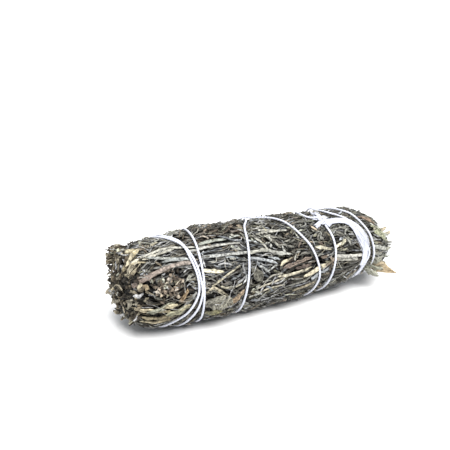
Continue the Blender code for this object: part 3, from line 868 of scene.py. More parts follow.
CURLS = ("rolled", "bud", "split", "crumpled")
ZONES = (
    # The hollow's leaves take the dark palette: painted shade in the hollow.
    (HOLE, (2.6, 2.4), RingStyle(HOLE, 80, spread=30, length=(2, 4), palette="dark")),
    (on_map(-40.3, 75), (4.6, 4.4), Style(0, 90, (1.4, 3), (0.8, 1.5), 1.2, 0.3, "floret", 0.3, 0.1,
                                          ("bud", "bud", "split"))),
    (on_map(-49.5, 88), (2.6, 11), Style(80, 50, (1.6, 4), (0.6, 1.4), 1.4, 0.4, "rim", 0.4, 0.1,
                                         CURLS)),
    (on_map(-48.5, 25), (5, 9), Style(-50, 35, (2.5, 7), (0.6, 1.6), 0.9, 0.4, "rim", 0.25, 0.1)),
    (on_map(-43, 113), (8, 6), Style(-5, 14, (4, 11), (0.7, 1.9), 0.4, 0.2, "rim", 0.1)),
    (on_map(-36, 98), (5, 5), Style(-15, 45, (2, 6), (0.7, 1.8), 1.0, 0.3, "rim", 0.2)),
    (on_map(-38, 34), (8, 7), Style(-6, 12, (4, 10), (0.4, 0.95), 0.35, 0.15, "pale", 0.08)),
    # A sunken patch near the left end, in the dark palette: painted shade.
    (on_map(-45.5, 55), (5, 5), Style(-25, 22, (3, 9), (0.5, 1.4), 0.5, 0.3, "dark", 0.1, -0.4)),
    (on_map(-17, 48), (11, 5), Style(3, 12, (4, 10), (0.4, 1.1), 0.35, 0.2, "cool", 0.08)),
    (on_map(-18, 22), (10, 4), Style(5, 30, (2, 5), (0.6, 1.3), 0.9, 0.3, "floret", 0.25)),
    (on_map(-1, 44), (7, 5), Style(42, 12, (3, 8), (0.5, 1.1), 0.3, 0.25, "body", 0.08)),
    (on_map(9, 77), (8.5, 3.4), Style(6, 24, (3, 7), (0.8, 1.8), 0.6, 0.3, "rust", 0.15)),
    (on_map(-6.5, 78), (5, 3.4), Style(25, 45, (2, 6), (0.5, 1.3), 1.8, 0.25, "cool", 0.4)),
    (on_map(-19, 88), (6, 4), Style(15, 60, (2, 5.5), (0.5, 1.2), 1.7, 0.3, "body", 0.4)),
    (on_map(2, 106), (17, 5), Style(-12, 9, (5, 13), (0.5, 1.2), 0.3, 0.15, "body", 0.05)),
    (on_map(27, 88), (6, 6), Style(9, 9, (5, 12), (0.6, 1.4), 0.25, 0.2, "body", 0.05)),
    (on_map(19, 38), (10, 7), Style(20, 40, (2, 7), (0.45, 1.1), 0.8, 0.35, "green", 0.2)),
    (on_map(45, 40), (6, 20), Style(8, 16, (4, 10), (0.6, 1.5), 0.5, 0.4, "green", 0.15)),
)
PLAIN = Style(0, 22, (2.4, 6.6))
# The deep layer takes the dark palette: painted shade under the top layers.
DEEP = Style(0, 20, (7, 15), (1.1, 2.0), 0.3, 0.0, "dark", 0.0, 0.0, ("slim",))


def style_at(spot, rng):
    """Style of the zone that holds a spot, with ragged borders between zones."""
    for (a, b), (half_a, half_b), style in ZONES:
        away = math.hypot((spot[0] - a) / half_a / MM, (spot[1] - b) / half_b / MM)
        if away < 1 + rng.normal(0, 0.15):
            return style
    return PLAIN


def fill_side(pile, press, rng, ceiling, tries, only=None, size=1.0):
    """Pile leaves on the long side, each where the pile is still low."""
    for _ in range(tries):
        first = (rng.uniform(LEFT_LIMIT, RIGHT_LIMIT), rng.uniform(0, ROUND))
        style = only or style_at(first, rng)
        spots = [first] + [(first[0] + rng.normal(0, 3) * MM, first[1] + rng.normal(0, 3) * MM)
                           for _ in range(2)]
        lay_leaf(pile, press, rng, spots, style, ceiling, size)


def spot_on_end(rng, reach):
    """Random spot of an end's flat map, within reach of its pole."""
    away = reach * math.sqrt(rng.random())
    turn = rng.uniform(0, 2 * math.pi)
    return away * math.sin(turn), away * math.cos(turn)


def fill_end(pile, rng, ceiling, tries, reach, styles):
    """Pile leaves on a rounded end of the bundle."""
    for _ in range(tries):
        spots = [spot_on_end(rng, reach) for _ in range(2)]
        lay_leaf(pile, None, rng, spots, choose(rng, styles), ceiling)


def plant_tips(pile, rng, count, reach, palette, kinds, length, width):
    """Leaf tips and stem ends that stick out of a rounded end, some curled over."""
    for _ in range(count):
        spot = spot_on_end(rng, reach)
        run = rng.uniform(0.3, 2.6) * MM
        a, b = curve_on_map(*spot, rng.uniform(0, 2 * math.pi), run, rng.normal(0, 1.2))
        high = rng.uniform(-1.2, 0.9) * MM
        low = high - rng.uniform(*length) * MM
        height = low + (high - low) * np.sin((SHARE + 0.5) * math.pi * rng.uniform(0.45, 0.65))
        line, _ = to_space(pile, a, b, height, None)
        drift = np.array((0, rng.normal(), rng.normal()))
        out = np.tile(drift / np.linalg.norm(drift), (STEPS, 1))
        wide = rng.uniform(*width) * MM
        kind = choose(rng, kinds)
        # Painted shade: each tip runs from the near-black gap shade at its buried base to its own
        # colour.
        add_piece(kind, line, out, wide, wide * rng.uniform(0.6, 0.9), rng.normal(0, 0.8),
                  PAINTED_GAP_SHADE, pick(rng, palette), rng)


def reach_out(rng, count, x_mm, way, turns, radii, lengths, width, palette, kinds, loose):
    """Leaves and stems that run out of the bundle's end along it, curling more when loose."""
    for _ in range(count):
        turn = math.radians(rng.uniform(*turns))
        radius = rng.uniform(*radii) * MM
        start = on_bundle(x_mm * MM, turn, radius)
        length = rng.uniform(*lengths) * MM
        drift = rng.normal(0, loose, 2)
        curl = rng.normal(0, 1.5 * loose, 2)
        share = (SHARE + 0.5)[:, None]
        aim = np.array((way, *drift))
        line = start + length * (share * aim + share**2 * np.array((0, *curl)))
        middle = outline(x_mm * MM)[1]
        away = np.hypot(line[:, 1], line[:, 2] - middle)
        inside = np.minimum(1, (radii[1] + 0.7) * MM / away)
        line[:, 1] *= inside
        line[:, 2] = middle + (line[:, 2] - middle) * inside
        upright = np.tile((0, -math.sin(turn), math.cos(turn)), (STEPS, 1))
        out = unit(upright + rng.normal(0, 0.4, 3))
        wide = rng.uniform(*width) * MM
        colour = pick(rng, palette)
        kind = choose(rng, kinds)
        add_piece(kind, line, out, wide, wide * rng.uniform(0.5, 0.8), rng.normal(0, 0.9),
                  0.65 * colour, colour, rng)


def lay_chosen(pile, press, rng, kind, width, colours, spots, rise=0.0):
    """Lay one piece along given spots on the side of the bundle, above what lies there."""
    corners = round_corners(np.array([on_map(*spot) for spot in spots]), 3)
    run = run_along(corners)
    wanted = np.linspace(0, run[-1], max(STEPS, int(run[-1] / (0.8 * MM))))
    a = np.interp(wanted, run, corners[:, 0])
    b = np.interp(wanted, run, corners[:, 1])
    thick = (0.35 if kind == "veined" else 0.7) * width * MM
    height = pile.settle(a, b, width * MM, thick, 3)
    height = np.clip(height, -0.6 * MM, 0.35 * MM) + rise * MM
    pile.cover(a, b, height, width * MM, thick)
    line, out = to_space(pile, a, b, height, press)
    base, tip = (0.85 * np.array(linear(colour)) for colour in colours)
    add_piece(kind, line, out, width * MM, thick, rng.normal(0, 0.15), base, tip, rng)


def lay_whorl(pile, press, rng, spot, count, length, width, palette, rise=0.0):
    """Cluster of small pointed leaves that spread from one spot of a stem."""
    first = rng.uniform(0, 2 * math.pi)
    for i in range(count):
        heading = first + 2 * math.pi * i / count + rng.normal(0, 0.25)
        size = length * MM * rng.uniform(0.7, 1.15)
        a = spot[0] + math.cos(heading) * size / 2
        b = spot[1] + math.sin(heading) * size / 2
        a, b = curve_on_map(a, b, heading, size, rng.normal(0, 0.6))
        wide = width * MM * rng.uniform(0.75, 1.2)
        height = np.minimum(pile.settle(a, b, wide, wide / 2, 3), 0.3 * MM) + rise * MM
        pile.cover(a, b, height, wide, wide / 2)
        height = height + 0.45 * MM * (SHARE + 0.5)**2 * rng.uniform(0, 1.6)
        line, out = to_space(pile, a, b, height, press)
        colour = pick(rng, palette)
        add_piece("pointed", line, out, wide, wide * 0.6, rng.normal(0, 0.6),
                  0.6 * colour, colour, rng)


def lay_wisps(pile, press, rng, count):
    """Fine loose fibres over the leaves, mostly along the bundle."""
    for _ in range(count):
        spot = (rng.uniform(-48, 47) * MM, rng.uniform(0, ROUND))
        if math.hypot(spot[0] - HOLE[0], spot[1] - HOLE[1]) < 5 * MM:
            continue
        a, b = curve_on_map(*spot, rng.normal(0, 0.5), rng.uniform(2, 7) * MM,
                            rng.normal(0, 0.8), rng.normal(0, 0.4))
        a = np.clip(a, LEFT_LIMIT, RIGHT_LIMIT)
        height = pile.settle(a, b, 0.3 * MM, 0.2 * MM, 2) + rng.uniform(0, 0.35) * MM
        line, out = to_space(pile, a, b, np.minimum(height, 0.9 * MM), press)
        wide = rng.uniform(0.14, 0.32) * MM
        colour = pick(rng, "pale")
        add_piece("wisp", line, out, wide, wide, 0, colour, colour, rng)


# Pieces that stand out in the photo: form, width in mm, colours at its ends, spots along it as
# mm along the bundle and degrees from the top over the front.
CHOSEN = (
    ("crumpled", 1.8, ("a3977a", "c0b494"),
     ((-50, 27), (-49.4, 20), (-48, 20), (-46.3, 18), (-43.9, 13))),
    ("crumpled", 2.3, ("cfc6ae", "b5aa8c"), ((-49.3, -9), (-47.9, 3), (-46.7, 8), (-45, 8))),
    ("crumpled", 1.9, ("b7ae97", "cdc6b2"), ((-49.6, 40), (-48.6, 34), (-47.2, 30), (-45.6, 29))),
    ("rolled", 1.1, ("b0a894", "9a937f"), ((-45.4, 15), (-41.8, 11), (-37.3, 6))),
    ("twig", 0.95, ("b8b5a8", "a5a49c"),
     ((-45.3, 28), (-40.5, 23), (-36.8, 20), (-32.7, 25), (-27, 29))),
    ("rolled", 1.0, ("c9c3b1", "a8a79d"), ((-45, 32), (-42.6, 32), (-38.9, 27), (-34, 27))),
    ("rolled", 1.1, ("8f918c", "b7b9b4"), ((-43.7, 31), (-39.7, 36), (-36.1, 40), (-32.1, 43))),
    ("rolled", 1.2, ("7f8280", "a7aaa7"), ((-39.6, 42), (-35.1, 41), (-30.4, 45))),
    ("rolled", 1.3, ("6f6e69", "8d8d8a"), ((-42.6, 47), (-37.6, 47), (-34.6, 50), (-30.4, 55))),
    ("twig", 0.7, ("b6ab8f", "8d836c"), ((-49, 31), (-47.4, 33), (-44.1, 37))),
    ("pointed", 1.0, ("c4bba2", "857a64"), ((-46, 37), (-47.6, 41), (-49, 47))),
    ("twig", 1.0, ("6d6258", "8c8176"), ((-47.6, 56), (-44.9, 55), (-41.7, 52))),
    ("twig", 1.15, ("a6a8a6", "9c9b94"),
     ((-26.8, 46), (-21.3, 50), (-16.1, 51), (-11, 51), (-4.5, 53))),
    ("twig", 1.0, ("aaa9a2", "9a9992"), ((-29.6, 34), (-24.5, 36), (-19.3, 35), (-12.5, 38))),
    ("rolled", 1.15, ("8b8e84", "adb0a8"), ((-26.9, 28), (-22.2, 29), (-17.3, 27), (-11.2, 28))),
    ("twig", 0.75, ("a39c86", "b3ad99"), ((-25.3, 84), (-21.6, 77), (-17.9, 71), (-14.7, 66))),
    ("crumpled", 1.5, ("d8d2bd", "c9c1a8"), ((-27.6, 62), (-24.6, 66), (-20.7, 70))),
    ("rolled", 0.9, ("b7ae97", "8f8875"),
     ((-26.7, 89), (-25.2, 82), (-23.2, 86), (-22.9, 94), (-19.6, 101))),
    ("rolled", 0.8, ("a39d8a", "c3bda9"), ((-22.5, 86), (-19.4, 93), (-16.5, 93), (-14.7, 88))),
    ("veined", 5.6, ("77746a", "8b887a"), ((-28, 106), (-25, 104), (-21.5, 106), (-18, 113))),
    ("veined", 3.0, ("6f6b57", "87825f"), ((-27, 121), (-24.2, 120), (-21, 122))),
    ("crumpled", 1.8, ("8d7a64", "a3917a"), ((-18.6, 112), (-16.2, 104), (-13.5, 97))),
    ("rolled", 1.5, ("b3a88e", "8e846c"), ((-49.6, 112), (-46.5, 106), (-43, 106), (-38.7, 107))),
    ("crumpled", 1.6, ("a2977d", "6e6552"), ((-47.5, 125), (-42, 118), (-36.5, 114))),
    ("rolled", 1.4, ("bcb196", "827860"), ((-46.7, 139), (-43.5, 127), (-38, 122))),
    ("crumpled", 1.7, ("8b8b7b", "a4a392"),
     ((-46.3, 110), (-42.5, 103), (-39.8, 97), (-37.2, 95))),
    ("crumpled", 1.9, ("8a8872", "9d9a80"), ((-40.7, 111), (-37.5, 109), (-32.7, 99))),
    ("rolled", 1.2, ("a49a80", "c4ba9e"), ((-41.6, 101), (-39.5, 96), (-36.9, 98))),
    ("crumpled", 1.6, ("7d6a52", "a08b6d"), ((-36.6, 95), (-35, 86), (-33.6, 79))),
    ("pointed", 1.3, ("c9bfa3", "a89d80"), ((-36, 105), (-33.1, 99))),
    ("crumpled", 1.6, ("7a6c58", "9c8d72"), ((-47, 68), (-46.2, 72), (-45, 75))),
    ("twig", 0.7, ("b9b3a2", "a8a291"),
     ((-11.2, 103), (-6.5, 98), (-2.4, 95), (0.6, 94), (10, 86))),
    ("twig", 0.65, ("a19b8a", "c1baa8"), ((-11.4, 113), (-8.1, 104), (-3, 101), (1.3, 103))),
    ("rolled", 0.9, ("c6bfab", "a39c88"), ((-1.7, 89), (2.9, 90), (7.6, 89), (12.3, 86))),
    ("pointed", 1.3, ("a09680", "c9c0a8"), ((4.3, 68), (1.8, 70), (-0.6, 75))),
    ("crumpled", 1.7, ("75685f", "8b7d71"), ((0.3, 80), (4.6, 77), (9, 73), (12.5, 72))),
    ("crumpled", 1.4, ("5c514b", "7b6e64"), ((5.3, 84), (8.4, 82), (11.8, 80))),
    ("crumpled", 1.2, ("71655a", "897a6b"), ((15.7, 76), (17.6, 80), (18.9, 75))),
    ("rolled", 0.8, ("9a9c9a", "7f807c"), ((-8.3, 70), (-5.9, 74), (-4.3, 83))),
    ("rolled", 0.7, ("8c8e8c", "b1b2ad"), ((-6, 80), (-3.4, 79), (-1.4, 73))),
    ("rolled", 1.0, ("85888a", "b4b8ba"), ((-10.9, 58), (-7.6, 63), (-4.5, 67), (-1.3, 72))),
    ("rolled", 0.9, ("b0b4b6", "8e9293"), ((-4.4, 61), (-2.1, 65), (0.2, 68))),
    ("veined", 3.4, ("5d5b52", "6c6a60"), ((-11, 72), (-9.2, 80), (-7.6, 90))),
    ("twig", 0.9, ("a3a198", "b5b3a9"), ((-4.1, 24), (0.1, 26), (4.4, 28), (6.7, 31))),
    ("twig", 0.9, ("9a988e", "b8b6ab"), ((-5.4, 29), (-0.5, 28), (4.9, 31))),
    ("rolled", 0.8, ("b4b2a6", "8d8b81"), ((-3.1, 33), (-0.6, 44), (1.4, 54))),
    ("rolled", 0.8, ("8d8b83", "b7b5aa"), ((-7.2, 30), (-5.3, 39), (-4.2, 50), (-2.5, 60))),
    ("rolled", 1.2, ("a9a89d", "8d8c84"), ((-10.9, 53), (-6.8, 53), (-2.8, 54))),
    ("rolled", 1.3, ("8f8f88", "b3b3ab"), ((-4.3, 55), (0.3, 59), (4.5, 64))),
    ("twig", 1.4, ("a7a59d", "b9b7af"), ((21.9, 80), (25.8, 83), (30.2, 87), (33, 90))),
    ("twig", 1.1, ("8d8b82", "a3a198"), ((22.4, 85), (26.7, 90), (31.2, 94))),
    ("rolled", 1.3, ("c3bda9", "a09a86"), ((14.2, 61), (17.3, 64), (20.8, 69))),
    ("rolled", 1.2, ("cfc9b4", "b0aa97"), ((22.3, 68), (25, 63), (28, 58))),
    ("rolled", 1.5, ("cdc4ac", "afa68e"), ((8.5, 97), (13.2, 92), (17, 88), (20, 86))),
    ("twig", 1.3, ("9a9ea1", "85888a"), ((12, 104), (15.2, 100), (18.4, 96), (21, 92))),
    ("rolled", 1.2, ("837b68", "a49b86"), ((4.9, 116), (8.4, 111), (14.2, 112))),
    ("twig", 1.5, ("9d9e96", "b3b3a9"), ((39.8, 82), (43, 85), (46.5, 88), (49.4, 92))),
    ("twig", 1.4, ("8e8f88", "a5a59b"), ((39.6, 95), (43, 99), (46, 104), (48.6, 110))),
    ("crumpled", 1.9, ("8e9078", "b3b49a"), ((40.3, 52), (43.7, 58), (47, 62), (49.4, 66))),
    ("crumpled", 1.6, ("a1a389", "868870"), ((39.8, 44), (42.5, 48), (48.3, 50))),
    ("crumpled", 1.4, ("75655a", "8c7b68"), ((36.4, 22), (39.3, 30), (43.4, 36))),
)
# More of them, laid after the last layers so that nothing covers them.
TOPMOST = (
    ("crumpled", 1.7, ("7d7d70", "9a998a"), ((38.6, 113), (41, 111), (43.8, 108))),
    ("rolled", 1.2, ("8d8c80", "a5a496"), ((38.8, 106), (41.2, 105), (44.5, 103))),
    ("twig", 1.6, ("82746b", "948a81"), ((-49.1, 66), (-46.8, 61), (-43.8, 56), (-39.7, 50),
                                         (-36.6, 48), (-31, 50))),
)
# Pieces that hang out of the ends: form, width in mm, colours, spots in mm in space.
PLACED = (
    ("crumpled", 2.4, ("6d6e62", "8f8f80"),
     ((35.5, -9.6, 10.5), (39, -10.8, 7.5), (42.4, -10.7, 5.7))),
    ("rolled", 1.7, ("84847a", "a3a295"),
     ((36.5, -10.6, 9.0), (39.6, -11, 6.6), (42.6, -10.6, 4.8))),
    ("crumpled", 1.9, ("77786b", "9b9b8c"),
     ((37.5, -9.4, 10.2), (41.5, -10.3, 8), (45, -10.1, 6.8))),
    ("rolled", 1.4, ("8f8e83", "b0aea2"),
     ((39, -8.8, 12.3), (43, -9.4, 10.2), (46.5, -9.3, 8.7))),
    ("broad", 4.8, ("958e7c", "a98e67"), ((38.5, -8.5, 11.6), (42, -9.9, 8.7), (45.5, -10.4, 6.5),
                                          (48.8, -10.2, 5.0), (51.7, -9.7, 3.9))),
    ("bud", 2.3, ("6f6658", "9c9382"),
     ((-47.9, 9.2, 11.1), (-49.4, 9.8, 10.8), (-51, 10.3, 10.5))),
)
# Middles of the dried florets at the left end, and of two whorls of leaves on the front.
FLORETS = ((-42.7, 72), (-40.8, 69), (-42.4, 80), (-39.5, 76), (-39.7, 84), (-37.8, 85),
           (-36.9, 74), (-35.9, 71), (-36.8, 67), (-38.3, 64), (-41.4, 75), (-38.2, 79))
STARS = ((16.8, 43), (26.3, 55))

string_points = string_line()
press = StringPress(string_points)
rng = np.random.default_rng(7)
side_pile = Pile((-52 * MM, 0), (52 * MM, ROUND), on_side, True, rng)
left_pile = Pile((-14 * MM, -14 * MM), (14 * MM, 14 * MM), on_left_end, False, rng)
right_pile = Pile((-14 * MM, -14 * MM), (14 * MM, 14 * MM), on_right_end, False, rng)

LEFT_STYLES = (Style(0, 90, (2, 5), (0.6, 1.5), 1.4, 0.4, "rim", 0.4, 0.0, CURLS),
               Style(90, 60, (2.5, 6), (0.6, 1.5), 1.0, 0.4, "rim", 0.3, 0.0, CURLS))
RIGHT_STYLES = (Style(0, 90, (2, 6), (0.6, 1.5), 0.8, 0.5, "green", 0.2),)

fill_side(side_pile, press, rng, DEEP_TOP, DEEP_TRIES, DEEP)
fill_side(side_pile, press, rng, FIRST_TOP, FIRST_TRIES)
for row in CHOSEN:
    lay_chosen(side_pile, press, rng, *row)
for spot in STARS:
    lay_whorl(side_pile, press, rng, on_map(*spot), 7, 3.4, 0.9, "body", 0.1)
for _ in range(WHORLS):
    spot = on_map(rng.uniform(-46, 46), rng.uniform(0, 360))
    palette = choose(rng, ("pale", "body", "floret", "green"))
    lay_whorl(side_pile, press, rng, spot, rng.integers(4, 8), rng.uniform(1.6, 3.2),
              rng.uniform(0.6, 1.0), palette)
for spot in FLORETS:
    lay_whorl(side_pile, press, rng, on_map(*spot), 5, 1.6, 1.0, "floret", 0.25)
fill_side(side_pile, press, rng, PILE_TOP, TOP_TRIES)
fill_side(side_pile, press, rng, PILE_TOP, FINE_TRIES, size=0.55)
for row in TOPMOST:
    lay_chosen(side_pile, press, rng, *row, rise=0.25)
fill_end(left_pile, rng, PILE_TOP, LEFT_TRIES, 10.5 * MM, LEFT_STYLES)
fill_end(right_pile, rng, PILE_TOP, RIGHT_TRIES, 9 * MM, RIGHT_STYLES)
plant_tips(left_pile, rng, LEFT_TIPS, 10 * MM, "rim", CURLS, (1.5, 3), (0.8, 1.7))
plant_tips(right_pile, rng, RIGHT_TIPS, 8 * MM, "green", ("rolled", "pointed"), (2, 4),
           (0.7, 1.5))
for turns, radii, lengths, width, count in (
        ((-180, 180), (6.5, 11.6), (2.2, 4.2), (0.8, 1.8), 110),
        ((-70, 15), (10.6, 12.6), (2.6, 4.4), (0.8, 1.8), 50)):
    reach_out(rng, count, -46.5, -1, turns, radii, lengths, width, "rim",
              ("bud", "split", "rolled", "bud"), 0.42)
for turns, radii, lengths, count in (
        ((-150, 30), (2, 7.4), (2.5, 4.4), 45), ((30, 125), (2, 7.4), (5.5, 7.8), 60),
        ((125, 210), (2, 7), (3.5, 6), 25)):
    reach_out(rng, count, 43, 1, turns, radii, lengths, (0.8, 1.8), "green",
              ("rolled", "rolled", "crumpled"), 0.09)
for kind, width, colours, spots in PLACED:
    base, tip = (np.array(linear(colour)) for colour in colours)
    line = np.array(spots) * MM
    away = unit(line - (line[:, :1] * (1, 0, 0) + (0, 0, outline(0)[1])))
    thick = 0.7 if kind == "broad" else 0.6 * width
    add_piece(kind, line, away, width * MM, thick * MM, 0.2, base, tip, rng)
lay_wisps(side_pile, press, rng, WISPS)


def sprig_core(name):
    """Packed middle of a sprig, under its loose leaves, in the near-black painted shade of the
    gaps.
    """
    kind, number = name.rsplit("_", 1)
    if kind == "outer_sprig":
        count, index, inner, outer = OUTER_COUNT, int(number) - 1, CORE_OUTER_FROM, 1.0
    elif kind == "inner_sprig":
        count, index = INNER_COUNT, int(number) - 1
        inner, outer = CORE_INNER_FROM, CORE_OUTER_FROM
    else:
        count, index, inner, outer = 1, 0, 0.0, CORE_INNER_FROM
    bpy.ops.object.select_all(action="DESELECT")
    if count == 1:
        bpy.ops.mesh.primitive_cylinder_add(vertices=12, radius=1, depth=2, end_fill_type="NGON")
    else:
        bpy.ops.mesh.primitive_cube_add(size=2)
    piece = bpy.context.object
    bpy.ops.object.mode_set(mode="EDIT")
    bpy.ops.mesh.select_all(action="SELECT")
    if count > 1:
        bpy.ops.mesh.subdivide(number_cuts=5)
    bpy.ops.mesh.quads_convert_to_tris()
    bpy.ops.object.mode_set(mode="OBJECT")
    points, loops, sizes = take_mesh(piece)
    middle = (CORE_ENDS[0] + CORE_ENDS[1]) / 2
    half = (CORE_ENDS[1] - CORE_ENDS[0]) / 2
    if count == 1:
        x = middle + points[:, 2] * half
        turn = np.arctan2(points[:, 1], points[:, 0])
        points = on_bundle(x, turn, outline(x)[0] * outer)
    else:
        x = middle + points[:, 0] * half
        turn = (index + points[:, 1] / 2) * 2 * math.pi / count
        top = outline(x)[0] * outer + (CORE_HEIGHT if outer == 1 else 0)
        bottom = outline(x)[0] * inner
        points = on_bundle(x, turn, bottom + (top - bottom) * (points[:, 2] + 1) / 2)
    # Painted shade: the core is as dark as the shade between the leaves.
    colours = np.tile(PAINTED_GAP_SHADE, (len(points), 1))
    heaps.setdefault(name, Heap()).add(points, loops, sizes, colours, points[:, :2] / MM)


def multiply(tree, first, second):
    """Product of two colours, which the mix node takes at 6 and 7 and gives at 2."""
    made = add_node(tree, "ShaderNodeMix",
                    {"data_type": "RGBA", "blend_type": "MULTIPLY", "Factor": 1},
                    {6: first, 7: second})
    return made.outputs[2]


def dried_leaf():
    """Dried sage leaf: thin leathery blades that shrank to rolled needles, dull and downy.

    The leaf is matt, with fine wrinkles along it about a quarter of a millimetre apart. Its colour
    follows the wrinkles: painted highlight on their crests and painted shade between them, over
    its own streaky tone.
    """
    made, tree, shader = new_material("dried_sage_leaf")
    tint = add_node(tree, "ShaderNodeAttribute", {"attribute_name": "tint"})
    grain = add_node(tree, "ShaderNodeUVMap", {"uv_map": "grain"})
    stretched = add_node(tree, "ShaderNodeMapping", {"Scale": (4.0, 0.7, 1.0)},
                         {"Vector": grain.outputs["UV"]})
    fibres = add_node(tree, "ShaderNodeTexNoise", {"Scale": 1.0, "Detail": 3.0, "Roughness": 0.6},
                      {"Vector": stretched.outputs["Vector"]})
    blotch = add_node(tree, "ShaderNodeTexNoise", {"Scale": 0.9, "Detail": 4.0, "Roughness": 0.65},
                      {"Vector": grain.outputs["UV"]})
    # Streaky tone tied to the wrinkles' height: painted highlight on their crests, painted shade in
    # their furrows.
    tone = grey_ramp(tree, fibres.outputs["Fac"], ((0.28, 0.36), (0.5, 1), (0.72, 1.55)))
    patch = grey_ramp(tree, blotch.outputs["Fac"], ((0.34, 0.22), (0.5, 1), (0.66, 1.5)))
    tree.links.new(multiply(tree, multiply(tree, tint.outputs["Color"], tone), patch),
                   shader.inputs["Base Color"])
    bump = add_node(tree, "ShaderNodeBump", {"Strength": 0.8, "Distance": 0.14 * MM},
                    {"Height": fibres.outputs["Fac"]})
    tree.links.new(bump.outputs["Normal"], shader.inputs["Normal"])
    shader.inputs["Roughness"].default_value = 0.75
    shader.inputs["IOR"].default_value = 1.45
    shader.inputs["Specular IOR Level"].default_value = 0.4
    return made


def cotton():
    """Bleached cotton string, spun in three plies: white and matt, with painted cool shade between
    its fibres.
    """
    made, tree, shader = new_material("bleached_cotton_string")
    place = add_node(tree, "ShaderNodeTexCoord")
    fibres = add_node(tree, "ShaderNodeTexNoise", {"Scale": 5000.0, "Detail": 2.0},
                      {"Vector": place.outputs["Object"]})
    # Fibre tone tied to the bump: painted cool shade in the furrows between fibres, paler on their
    # crests.
    tone = ramp(tree, fibres.outputs["Fac"], ((0.3, linear("b4b8c6")), (0.65, linear("d9dbe4"))))
    tree.links.new(tone, shader.inputs["Base Color"])
    bump = add_node(tree, "ShaderNodeBump", {"Strength": 0.4, "Distance": 0.05 * MM},
                    {"Height": fibres.outputs["Fac"]})
    tree.links.new(bump.outputs["Normal"], shader.inputs["Normal"])
    shader.inputs["Roughness"].default_value = 0.9
    shader.inputs["Sheen Weight"].default_value = 0.2
    return made


LEAF = dried_leaf()
COTTON = cotton()
NAMES = ([f"outer_sprig_{i + 1:02d}" for i in range(OUTER_COUNT)]
         + [f"inner_sprig_{i + 1}" for i in range(INNER_COUNT)] + ["centre_sprig"])
for index, name in enumerate(NAMES):
    sprig_core(name)
    piece = heaps[name].object("leafy_" + name)
    piece.data.materials.append(LEAF)
    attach(piece, "root")
    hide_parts(name)


def frame_along(line):
    """Outward and sideways directions along a line on the bundle."""
    along = unit(np.gradient(line, axis=0))
    _, middle = outline(line[:, 0])
    out = np.column_stack((np.zeros(len(line)), line[:, 1], line[:, 2] - middle))
    side = unit(np.cross(out, along))
    return np.cross(along, side), side


def strand_lines(line):
    """Middle lines of three plies wound round each other along a line."""
    out, side = frame_along(line)
    run = run_along(line)
    plies = []
    for ply in range(3):
        turn = run / PLY_PITCH * 2 * math.pi + ply * 2 * math.pi / 3
        away = out * np.cos(turn)[:, None] + side * np.sin(turn)[:, None]
        plies.append(line + PLY_OFFSET * away)
    return plies


def tube(name, lines, radius):
    """Round threads along lines, as one mesh."""
    curve = bpy.data.curves.new(name, "CURVE")
    curve.dimensions = "3D"
    curve.bevel_depth = radius
    curve.bevel_resolution = 1
    curve.use_fill_caps = True
    for spots in lines:
        spline = curve.splines.new("POLY")
        spline.points.add(len(spots) - 1)
        spots[:, 2] = np.clip(spots[:, 2], FLAT_HEIGHT + radius, HIGHEST)
        spots = np.column_stack((spots + BUNDLE_SHIFT, np.ones(len(spots))))
        spline.points.foreach_set("co", spots.ravel())
    made = bpy.data.objects.new(name, curve)
    bpy.context.scene.collection.objects.link(made)
    bpy.ops.object.select_all(action="DESELECT")
    made.select_set(True)
    bpy.context.view_layer.objects.active = made
    bpy.ops.object.convert(target="MESH")
    return bpy.context.object


def knot_line(centre, forward, side, up):
    """Closed loops of the knot, crossing over and under each other three times."""
    t = np.linspace(0, 2 * math.pi, 90)
    along = (np.sin(t) + 2 * np.sin(2 * t)) / 3 * KNOT_REACH
    across = (np.cos(t) - 2 * np.cos(2 * t)) / 3 * KNOT_REACH
    above = -np.sin(3 * t) * 0.42 * MM
    return centre + along[:, None] * forward + across[:, None] * side + above[:, None] * up


def frayed_end(rng, spots, widths, count):
    """Loose fibres of an untwisted string end along a line, with its widths on the way."""
    out, side = frame_along(spots)
    share = np.linspace(0, 1, len(spots))[:, None]
    width = np.interp(share, np.linspace(0, 1, len(widths)), widths) * MM
    fibres = []
    for _ in range(count):
        high = abs(rng.normal(0, 0.1))
        wave = rng.normal(0, 0.32) + 0.12 * np.sin(share * rng.uniform(4, 9) + rng.uniform(0, 6))
        stop = rng.integers(int(0.65 * len(spots)), len(spots) + 1)
        fibres.append((spots + width * (side * wave + out * high))[:stop])
    return fibres


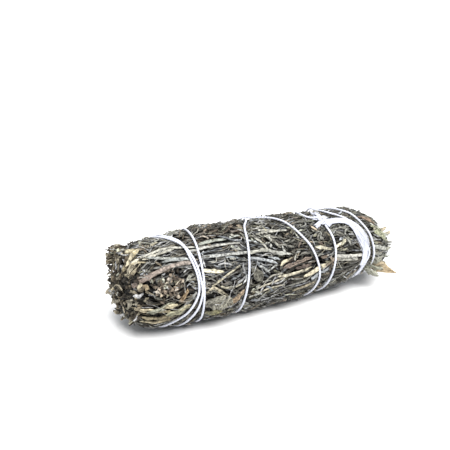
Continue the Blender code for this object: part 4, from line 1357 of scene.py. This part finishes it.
x, turn = KNOT_PLACE[0] * MM, math.radians(KNOT_PLACE[1])
knot_centre = on_bundle(x, turn, string_radius_at(x, turn) + KNOT_LIFT)
knot_up = np.array((0, -math.sin(turn), math.cos(turn)))
knot_forward = np.array((1.0, 0, 0))
knot_side = np.cross(knot_up, knot_forward)
plies = strand_lines(string_points)
plies += strand_lines(knot_line(knot_centre, knot_forward, knot_side, knot_up))
plies += strand_lines(knot_line(knot_centre, 0.6 * knot_side, -0.8 * knot_forward, knot_up))
fibres = []
for degrees, length in KNOT_TAILS:
    way = (knot_forward * math.cos(math.radians(degrees))
           - knot_side * math.sin(math.radians(degrees)))
    share = np.linspace(0.1, 1, 9)[:, None]
    spots = knot_centre + way * share * length * MM - knot_up * share**2 * 0.7 * MM
    fibres += frayed_end(rng, spots, (0.5, 1.0, 1.6), 50)
band = np.array([on_bundle(a * MM, math.radians(t), outline(a * MM)[0] + 0.05 * MM)
                 for a, t in BAND])
fibres += frayed_end(rng, band, (1.2, 1.2, 1.4, 2.2, 2.6, 1.2, 0.8), 150)
hairs = []
for _ in range(FUZZ_COUNT):
    i = rng.integers(2, len(string_points) - 3)
    way = rng.normal(0, 1, 3)
    way /= np.linalg.norm(way)
    share = np.linspace(0, 1, 4)[:, None]
    curl = rng.normal(0, 0.25, 3) * MM
    hairs.append(string_points[i] + way * share * rng.uniform(0.4, 0.6) * MM + curl * share**2)
pieces = [tube("twisted_cotton_string", plies, PLY_RADIUS),
          tube("frayed_ends", fibres, FIBRE_RADIUS), tube("cotton_fuzz", hairs, FUZZ_RADIUS)]
for piece in pieces:
    piece.data.materials.clear()
    piece.data.materials.append(COTTON)
    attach(piece, "root")
    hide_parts("binding_string")


def make_floor():
    """Pale matt ground, just under the bundle."""
    bpy.ops.object.select_all(action="DESELECT")
    bpy.ops.mesh.primitive_plane_add(size=8, location=(0, 0, -0.02 * MM))
    floor = bpy.context.object
    floor.name = "pale_floor"
    made, _, shader = new_material("pale_paper_floor")
    shader.inputs["Base Color"].default_value = (*linear("f7f7f7"), 1)
    shader.inputs["Roughness"].default_value = 0.9
    floor.data.materials.append(made)


def make_light():
    """Near-white surroundings and one broad key light from above and in front."""
    world = bpy.data.worlds.new("soft_studio")
    world.use_nodes = True
    sky = world.node_tree.nodes["Background"]
    sky.inputs["Color"].default_value = (0.93, 0.96, 1, 1)
    sky.inputs["Strength"].default_value = SKY_STRENGTH
    bpy.context.scene.world = world
    lamp = bpy.data.lights.new("key", "SUN")
    lamp.energy = KEY_STRENGTH
    lamp.angle = KEY_WIDTH
    lamp.color = (1, 0.995, 0.985)
    holder = bpy.data.objects.new("key", lamp)
    holder.rotation_euler = Vector(KEY_WAY).to_track_quat("-Z", "Y").to_euler()
    bpy.context.scene.collection.objects.link(holder)
    bpy.context.scene.view_settings.view_transform = "Standard"


make_floor()
make_light()
